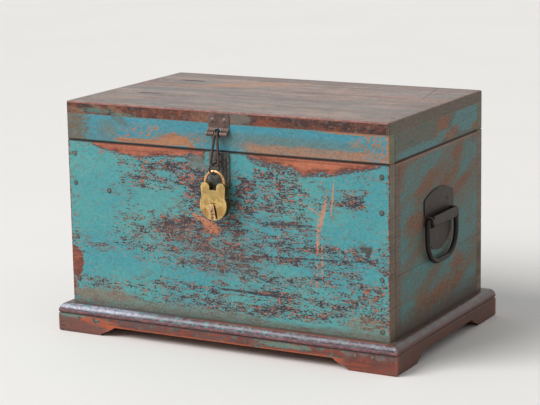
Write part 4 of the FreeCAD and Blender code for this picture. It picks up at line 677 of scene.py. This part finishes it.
def plinth_wood():
    """The plinth: a dark glossy moulding over orange-red feet with teal left in places."""
    t = Tree("plinth_wood")
    uv = t.flat(t.x, t.z)
    wobble = t.noise((26, 26, 40), 5, 0.62, 0.3)
    jagged = t.noise((130, 130, 210), 5, 0.68, 0.3)
    lines = t.noise((14, 14, 330), 4, 0.6, 0.3)
    spots = t.noise((60, 60, 130), 5, 0.7, 0.2, (3, 7, 1))
    red = t.two(wobble, 0.38, 0.62, (132, 60, 42), (98, 52, 41))
    red = t.two(t.noise((16, 16, 50), 4, 0.6, 0.5, (2, 2, 9)), 0.45, 0.62, red, (100, 64, 56))
    feet = t.step(t.far(t.x), plinth_half - 0.1045, plinth_half - 0.0845)
    plum = t.blot(uv, (-0.285, 0.012), (0.07, 0.022), wobble, 0.6, 0.4)
    red = t.over(red, plum, 0.8, (104, 70, 62))
    rust = t.blot(uv, (-0.235, 0.023), (0.05, 0.007), jagged, 0.8, 0.3, -6)
    red = t.over(red, rust, 0.8, (168, 80, 46))
    red = t.over(red, t.step(lines, 0.5, 0.66), 0.6, (80, 50, 44))
    # A painted highlight: a redder line along the apron's lower arris, kept off the feet.
    arris = t.step(t.moved(t.z, jagged, 0.004), apron_height + 0.005, apron_height + 0.003)
    arris = t.without(arris, feet)
    red = t.over(red, arris, 0.7, (170, 82, 48))
    inner = t.step(t.far(t.x), plinth_half - 0.0495, plinth_half - 0.1195)
    upper = t.step(t.z, groove_foot - 0.015, groove_foot - 0.001)
    teal = t.step(t.total((jagged, 0.4), (spots, 0.6), (inner, 0.03), (upper, 0.04)), 0.585, 0.605)
    red = t.over(red, teal, 0.8, t.two(jagged, 0.46, 0.56, (86, 128, 118), (62, 82, 80)))
    patch = t.blots(
        uv, ((-0.292, 0.031), (0.03, 0.0045), jagged, 0.9, 0.3),
        ((0.12, 0.027), (0.045, 0.0045), jagged, 1.2, 0.3))
    red = t.over(red, patch, 0.75, (96, 128, 114))
    marks = t.any_of(t.blot(uv, place, (0.009, 0.005), jagged, 0.9, 0.3)
                     for place in ((0.235, 0.029), (0.262, 0.031), (0.292, 0.027)))
    red = t.over(red, marks, 0.7, (104, 98, 94))
    chips = t.step(jagged, 0.58, 0.62)
    red = t.over(red, chips, 0.75, (58, 42, 44))

    moulding = t.two(jagged, 0.44, 0.54, (58, 44, 54), (92, 76, 86))
    # A pale painted highlight over the left part of the moulding's ovolo.
    painted_sheen = t.times(t.step(t.moved(t.x, wobble, 0.2), 0.02, -0.12),
                    t.step(t.z, ovolo_foot + 0.0009, ovolo_foot + 0.0034))
    sheen = t.two(jagged, 0.46, 0.58, (176, 176, 196), (112, 104, 120))
    moulding = t.over(moulding, painted_sheen, 0.75, sheen)
    moulding = t.over(moulding, t.step(spots, 0.53, 0.58), 0.6, (116, 122, 134))
    where = t.blot(uv, (-0.06, 0.043), (0.12, 0.02), wobble, 0.6, 0.6)
    flakes = t.moved(t.noise((90, 90, 140), 5, 0.7, 0, (8, 1, 4)), where, 0.05)
    moulding = t.over(moulding, t.step(flakes, 0.585, 0.615), 0.75, (78, 136, 132))
    crest = t.times(t.step(t.moved(t.z, jagged, -0.002), plinth_top - 0.0028, plinth_top - 0.0022),
                    t.step(t.x, -0.12, 0.02))
    moulding = t.over(moulding, crest, 0.75, (146, 76, 54))
    above = t.step(t.z, ovolo_foot - 0.0002, ovolo_foot + 0.0002)
    colour = t.mix(above, red, moulding)
    bead = t.times(t.step(t.z, bead_foot - 0.0002, bead_foot + 0.0004),
                   t.step(t.z, ovolo_foot + 0.0002, ovolo_foot - 0.0002))
    colour = t.over(colour, bead, 0.85, t.two(jagged, 0.42, 0.56, (132, 84, 84), (84, 58, 64)))
    # Painted shade: the groove under the bead is painted near black.
    groove = t.times(t.step(t.z, groove_foot - 0.0002, groove_foot + 0.0004),
                     t.step(t.z, bead_foot + 0.0002, bead_foot - 0.0002))
    colour = t.over(colour, groove, 0.85, (40, 28, 30))
    ledge = t.step(t.z, plinth_top - 0.0006, plinth_top - 0.0002)
    shelf = t.two(wobble, 0.42, 0.62, (78, 62, 53), (70, 76, 68))
    colour = t.over(colour, ledge, 0.85, shelf)
    corner = t.step(t.moved(t.far(t.x), jagged, 0.004), plinth_half - 0.0005, plinth_half + 0.002)
    colour = t.over(colour, corner, 0.6, (150, 78, 56))
    ends = t.times(t.step(t.far(t.x), half_width + 0.0005, half_width + 0.001),
                   t.step(t.far(t.y), half_depth + 0.015, half_depth + 0.01))
    brown = t.two(wobble, 0.4, 0.62, (70, 43, 31), (84, 46, 34))
    brown = t.over(brown, t.step(lines, 0.52, 0.68), 0.6, (62, 48, 42))
    brown = t.over(brown, t.step(jagged, 0.54, 0.6), 0.6, (56, 46, 42))
    green = t.times(t.step(t.z, ovolo_foot - 0.0006, ovolo_foot + 0.0074), t.step(spots, 0.44, 0.56))
    brown = t.over(brown, green, 0.55, (76, 92, 86))
    colour = t.over(colour, ends, 0.88, brown)
    under = t.step(t.z, 0.0012, 0.0002)
    colour = t.mix(under, colour, (96, 66, 46))
    gloss = t.without(above, t.times(ledge, 0.7))
    rough = t.moved(t.between(jagged, 0.48, 0.66), gloss, -0.26)
    height = t.total((lines, 0.25), (jagged, 0.45))
    return t.finish(colour, rough, height, 0.0006, coat=0.1, level=0.38)


def floor_wood():
    """The floor's boards and bearers: bare wood with old stains."""
    t = Tree("floor_wood")
    colour, lines = bare_wood(t, "x", (168, 124, 84), (130, 90, 60))
    stain = t.step(t.noise(9, 5, 0.6, 0.6), 0.5, 0.7)
    colour = t.over(colour, stain, 0.5, (98, 76, 56))
    return t.finish(colour, t.between(stain, 0.62, 0.8), lines, 0.0004, level=0.35)


# Metals

def iron(name, base, rust, pale, scale=1.0):
    """Forged iron: dark, pitted and rubbed bright at its arrises."""
    t = Tree(name)
    cloud = t.noise(60 * scale, 5, 0.65, 0.3)
    pits = t.noise(330 * scale, 4, 0.6)
    patch = t.noise(120 * scale, 5, 0.7, 0.4, (3, 3, 3))
    colour = t.two(cloud, 0.35, 0.65, base, tuple(int(c * 0.72) for c in base))
    colour = t.over(colour, t.step(patch, 0.52, 0.66), 0.7, rust)
    worn = t.edges(0.0007)
    colour = t.over(colour, worn, t.step(cloud, 0.25, 0.6), pale)
    height = t.total((pits, 0.5), (cloud, 0.6))
    rough = t.moved(t.between(patch, 0.36, 0.66), worn, -0.12)
    return t.finish(colour, rough, height, 0.0005, metal=0.55)


def plate_paint():
    """The staple's plate: iron with most of its grey-green paint rubbed off, and painted shadows of its
    edge and of the hardware in front.
    """
    t = Tree("plate_paint")
    cloud = t.noise(70, 5, 0.65, 0.5)
    flecks = t.noise((150, 150, 110), 5, 0.7, 0.3, (2, 8, 3))
    colour = t.two(cloud, 0.38, 0.62, (86, 98, 92), (74, 70, 64))
    colour = t.two(flecks, 0.52, 0.58, colour, (70, 62, 58))
    colour = t.over(colour, t.step(flecks, 0.42, 0.36), 0.8, (84, 142, 136))
    # Painted shadows: a dark line along the plate's right edge and two dark bars where the hardware in
    # front casts shade.
    painted_shadows = t.either(t.step(t.moved(t.x, flecks, 0.002), plate_right - 0.0005, plate_right + 0.0002),
                    t.stroke(t.flat(t.x, t.z), (0.0035, 0.334), (0.0042, 0.27), 0.0034, cloud, 0.6, 0.4),
                    t.stroke(t.flat(t.x, t.z), (0.0105, 0.334), (0.0098, 0.28), 0.002, flecks, 0.6, 0.4))
    colour = t.over(colour, painted_shadows, 0.85, (34, 28, 26))
    colour = t.mix(t.edges(0.0008), colour, (146, 140, 130))
    return t.finish(colour, t.between(flecks, 0.4, 0.62), t.add(cloud, flecks), 0.0004, metal=0.2)


def brass(name, base, dark, pale, rough_range, strokes=(), dots=()):
    """Old brass: soft patina, fine rub marks, arrises bright from rubbing and painted highlight, sides
    in painted shade, tarnish and painted shadow in the given places.

    A stroke has start, end, half thickness and colour. A dot has x, z, radius, colour and amount.
    """
    t = Tree(name)
    cloud = t.noise(55, 5, 0.6, 0.4)
    marks = t.noise((60, 500, 900), 4, 0.6, 0.2)
    cross = t.noise((900, 500, 90), 4, 0.6, 0.2, (5, 5, 5))
    pits = t.noise(520, 3, 0.6)
    patina = t.noise(110, 6, 0.7, 0.6, (7, 3, 2))
    colour = t.two(cloud, 0.38, 0.62, base, tuple(int(c * 0.8) for c in base))
    colour = t.over(colour, t.step(patina, 0.53, 0.66), 0.75, dark)
    rub = t.either(t.step(marks, 0.6, 0.68), t.step(cross, 0.62, 0.7))
    colour = t.over(colour, rub, 0.4, pale)
    colour = t.over(colour, t.step(pits, 0.64, 0.7), 0.7, dark)
    own = t.put("VectorTransform", {0: t.true_normal()}, vector_type="NORMAL",
                convert_from="WORLD", convert_to="OBJECT").outputs[0]
    # Painted shade: faces that look sideways along x are darkened.
    flank = t.step(t.far(t.parts(own)[0]), 0.5, 0.85)
    colour = t.over(colour, flank, 0.4, dark)
    # Arrises rubbed bright, and painted paler still as a highlight.
    worn = t.edges(0.0013)
    colour = t.over(colour, worn, 0.9, pale)
    uv = t.flat(t.x, t.z)
    for start, end, half, mark_tone in strokes:
        colour = t.over(colour, t.stroke(uv, start, end, half, patina, 0.3, 0.2), 0.92, mark_tone)
    for x, z, radius, mark_tone, amount in dots:
        colour = t.over(colour, t.blot(uv, (x, z), (radius, radius), patina, 0.6, 0.3), amount, mark_tone)
    height = t.total((pits, 0.4), (marks, 0.25), (cloud, 0.6))
    return t.finish(colour, t.between(cloud, *rough_range), height, 0.0003, metal=0.9)


def paint(names, material):
    """Each named CAD node gets the material as its only one."""
    for name in names:
        mesh = nodes[name].data
        mesh.materials.clear()
        mesh.materials.append(material)


sides = ("left", "right")
paint(["front_upper_plank", "front_lower_plank"], front_paint())
paint(["back_upper_plank", "back_lower_plank"], back_paint())
paint([side + "_end_" + row + "_plank" for side in sides for row in ("upper", "lower")], end_paint())
paint(["lid_front_rail", "lid_back_rail"], lid_front_paint())
paint(["lid_left_rail", "lid_right_rail"], lid_end_paint())
paint(["lid_front_plank", "lid_rear_plank", "lid_end_piece"], top_wood())
paint(["plinth_front", "plinth_back", "plinth_left", "plinth_right"], plinth_wood())
paint(["floor_front_plank", "floor_middle_plank", "floor_rear_plank", "floor_bearers"], floor_wood())
hinges = [side + "_hinge_" + piece for side in sides for piece in ("body_leaf", "lid_leaf", "pin")]
paint(["staple", "lock_ring", "hinge_body_nails", "hinge_lid_nails"] + hinges,
      iron("dark_iron", (66, 56, 52), (92, 64, 52), (150, 136, 128)))
# The hasp's arrises are rubbed bright, with the pale tone raised as a painted highlight.
paint(["hasp_plate", "hasp_rivets"],
      iron("hasp_iron", (106, 84, 78), (120, 82, 68), (206, 184, 176)))
# The link's arrises are rubbed bright, with the pale tone raised as a painted highlight.
paint(["hasp_pin", "hasp_link"],
      iron("link_iron", (84, 68, 62), (84, 62, 52), (190, 168, 158)))
paint([side + "_handle_" + piece for side in sides for piece in ("plate", "nails")],
      iron("handle_iron", (54, 44, 37), (72, 54, 43), (112, 100, 92)))
paint([side + "_handle_bail" for side in sides],
      iron("bail_iron", (34, 28, 23), (48, 36, 30), (88, 78, 70)))
paint(["wall_nails", "plinth_nails", "lid_nails", "staple_plate_nails"],
      iron("nail_iron", (112, 116, 110), (92, 72, 62), (34, 28, 26), 2.0))
paint(["staple_plate"], plate_paint())
paint(["padlock_front_plate"], brass(
    "face_brass", (210, 174, 110), (106, 78, 40), (255, 240, 190), (0.24, 0.42),
    strokes=(
        # The first stroke is a painted shadow beside the keyhole cover.
        ((-0.0002, 0.2497), (0.0044, 0.2243), 0.0015, (26, 18, 12)),
        ((-0.008, 0.2515), (0.004, 0.2512), 0.0007, (96, 70, 44))),
    dots=((-0.02, 0.232, 0.009, (150, 104, 56), 0.6), (0.012, 0.238, 0.008, (168, 120, 64), 0.5),
          (-0.004, 0.268, 0.012, (176, 152, 96), 0.5))))
paint(["padlock_" + piece for piece in ("rim", "back_plate", "rivets", "pivot_pin", "bolt", "levers")],
      brass("rim_brass", (150, 120, 66), (60, 46, 28), (214, 184, 124), (0.3, 0.5)))
paint(["keyhole_cover", "cover_rivet"], brass(
    "cover_brass", (218, 176, 124), (74, 48, 32), (250, 222, 176), (0.3, 0.45),
    dots=((-0.0038, 0.2388, 0.0015, (60, 42, 30), 0.8), (-0.0028, 0.2336, 0.0014, (60, 42, 30), 0.8),
          (-0.0018, 0.2286, 0.0014, (60, 42, 30), 0.8))))
paint(["padlock_shackle"],
      brass("shackle_brass", (222, 172, 122), (120, 80, 50), (250, 226, 186), (0.24, 0.4)))


# Floor, light and camera

def added(name, data):
    thing = bpy.data.objects.new(name, data)
    bpy.context.collection.objects.link(thing)
    return thing


def make_floor():
    """A wide pale floor that fills the view to the horizon."""
    mesh = bpy.data.meshes.new("ground")
    reach = 30.0
    corners = [(x * reach, y * reach, 0) for x, y in ((-1, -1), (1, -1), (1, 1), (-1, 1))]
    mesh.from_pydata(corners, [], [(0, 1, 2, 3)])
    ground = added("ground", mesh)
    t = Tree("ground_paint")
    cloud = t.noise(2, 4, 0.5)
    colour = t.mix(cloud, (238, 236, 233), (233, 231, 228))
    mesh.materials.append(t.finish(colour, 0.8, cloud, 0.0002, level=0.2))


def aimed(name, data, place, aim=(0, 0, 0.2)):
    """A light put in its place and turned to the middle of the chest."""
    lamp = added(name, data)
    lamp.location = place
    lamp.rotation_euler = (Vector(aim) - Vector(place)).to_track_quat("-Z", "Y").to_euler()


def make_lights():
    """A wide soft sun from the upper left and a low softbox that shines in the gloss."""
    sun = bpy.data.lights.new("window", "SUN")
    sun.energy = 2.3
    sun.angle = math.radians(38)
    aimed("window", sun, (-2.1, -2.6, 3.3))
    box = bpy.data.lights.new("softbox", "AREA")
    box.shape = "DISK"
    box.size = 1.4
    box.energy = 14
    aimed("softbox", box, (-1.9, -2.0, 1.5))


def make_world():
    """Even pale light, with a plain white wall where the camera or a gloss looks past the chest."""
    world = bpy.data.worlds.new("studio")
    bpy.context.scene.world = world
    world.use_nodes = True
    tree = world.node_tree
    base = tree.nodes["Background"]
    white = tree.nodes.new("ShaderNodeBackground")
    for sky, strength in ((base, 0.46), (white, 1.0)):
        sky.inputs["Color"].default_value = (1.0, 1.0, 1.0, 1.0)
        sky.inputs["Strength"].default_value = strength
    path = tree.nodes.new("ShaderNodeLightPath")
    mix = tree.nodes.new("ShaderNodeMixShader")
    seen = path.outputs["Is Camera Ray"]
    for other in ("Is Glossy Ray", "Is Transmission Ray"):
        either = tree.nodes.new("ShaderNodeMath")
        either.operation = "MAXIMUM"
        tree.links.new(seen, either.inputs[0])
        tree.links.new(path.outputs[other], either.inputs[1])
        seen = either.outputs[0]
    for source, socket in zip((seen, base.outputs[0], white.outputs[0]), mix.inputs):
        tree.links.new(source, socket)
    tree.links.new(mix.outputs[0], tree.nodes["World Output"].inputs["Surface"])


def make_camera():
    """The photograph's view, as fitted to the edges of the body in it."""
    azimuth, elevation, roll = (math.radians(v) for v in (29.01, 11.87, -1.06))
    distance = 3.23
    aim = Vector((-0.0136, 0, 0.2114))
    focal_pixels, picture_width = 1884.7, 540
    level = math.cos(elevation)
    back = Vector((math.sin(azimuth) * level, -math.cos(azimuth) * level, math.sin(elevation)))
    across = Vector((0, 0, 1)).cross(back).normalized()
    up = back.cross(across)
    turned = across * math.cos(roll) + up * math.sin(roll)
    raised = up * math.cos(roll) - across * math.sin(roll)
    data = bpy.data.cameras.new("camera")
    data.sensor_width = 36.0
    data.lens = focal_pixels / picture_width * data.sensor_width
    camera = added("camera", data)
    axes = Matrix((turned, raised, back)).transposed().to_4x4()
    camera.matrix_world = Matrix.Translation(aim + back * distance) @ axes
    bpy.context.scene.camera = camera


make_floor()
make_world()
make_lights()
make_camera()
bpy.context.scene.view_settings.view_transform = "Standard"
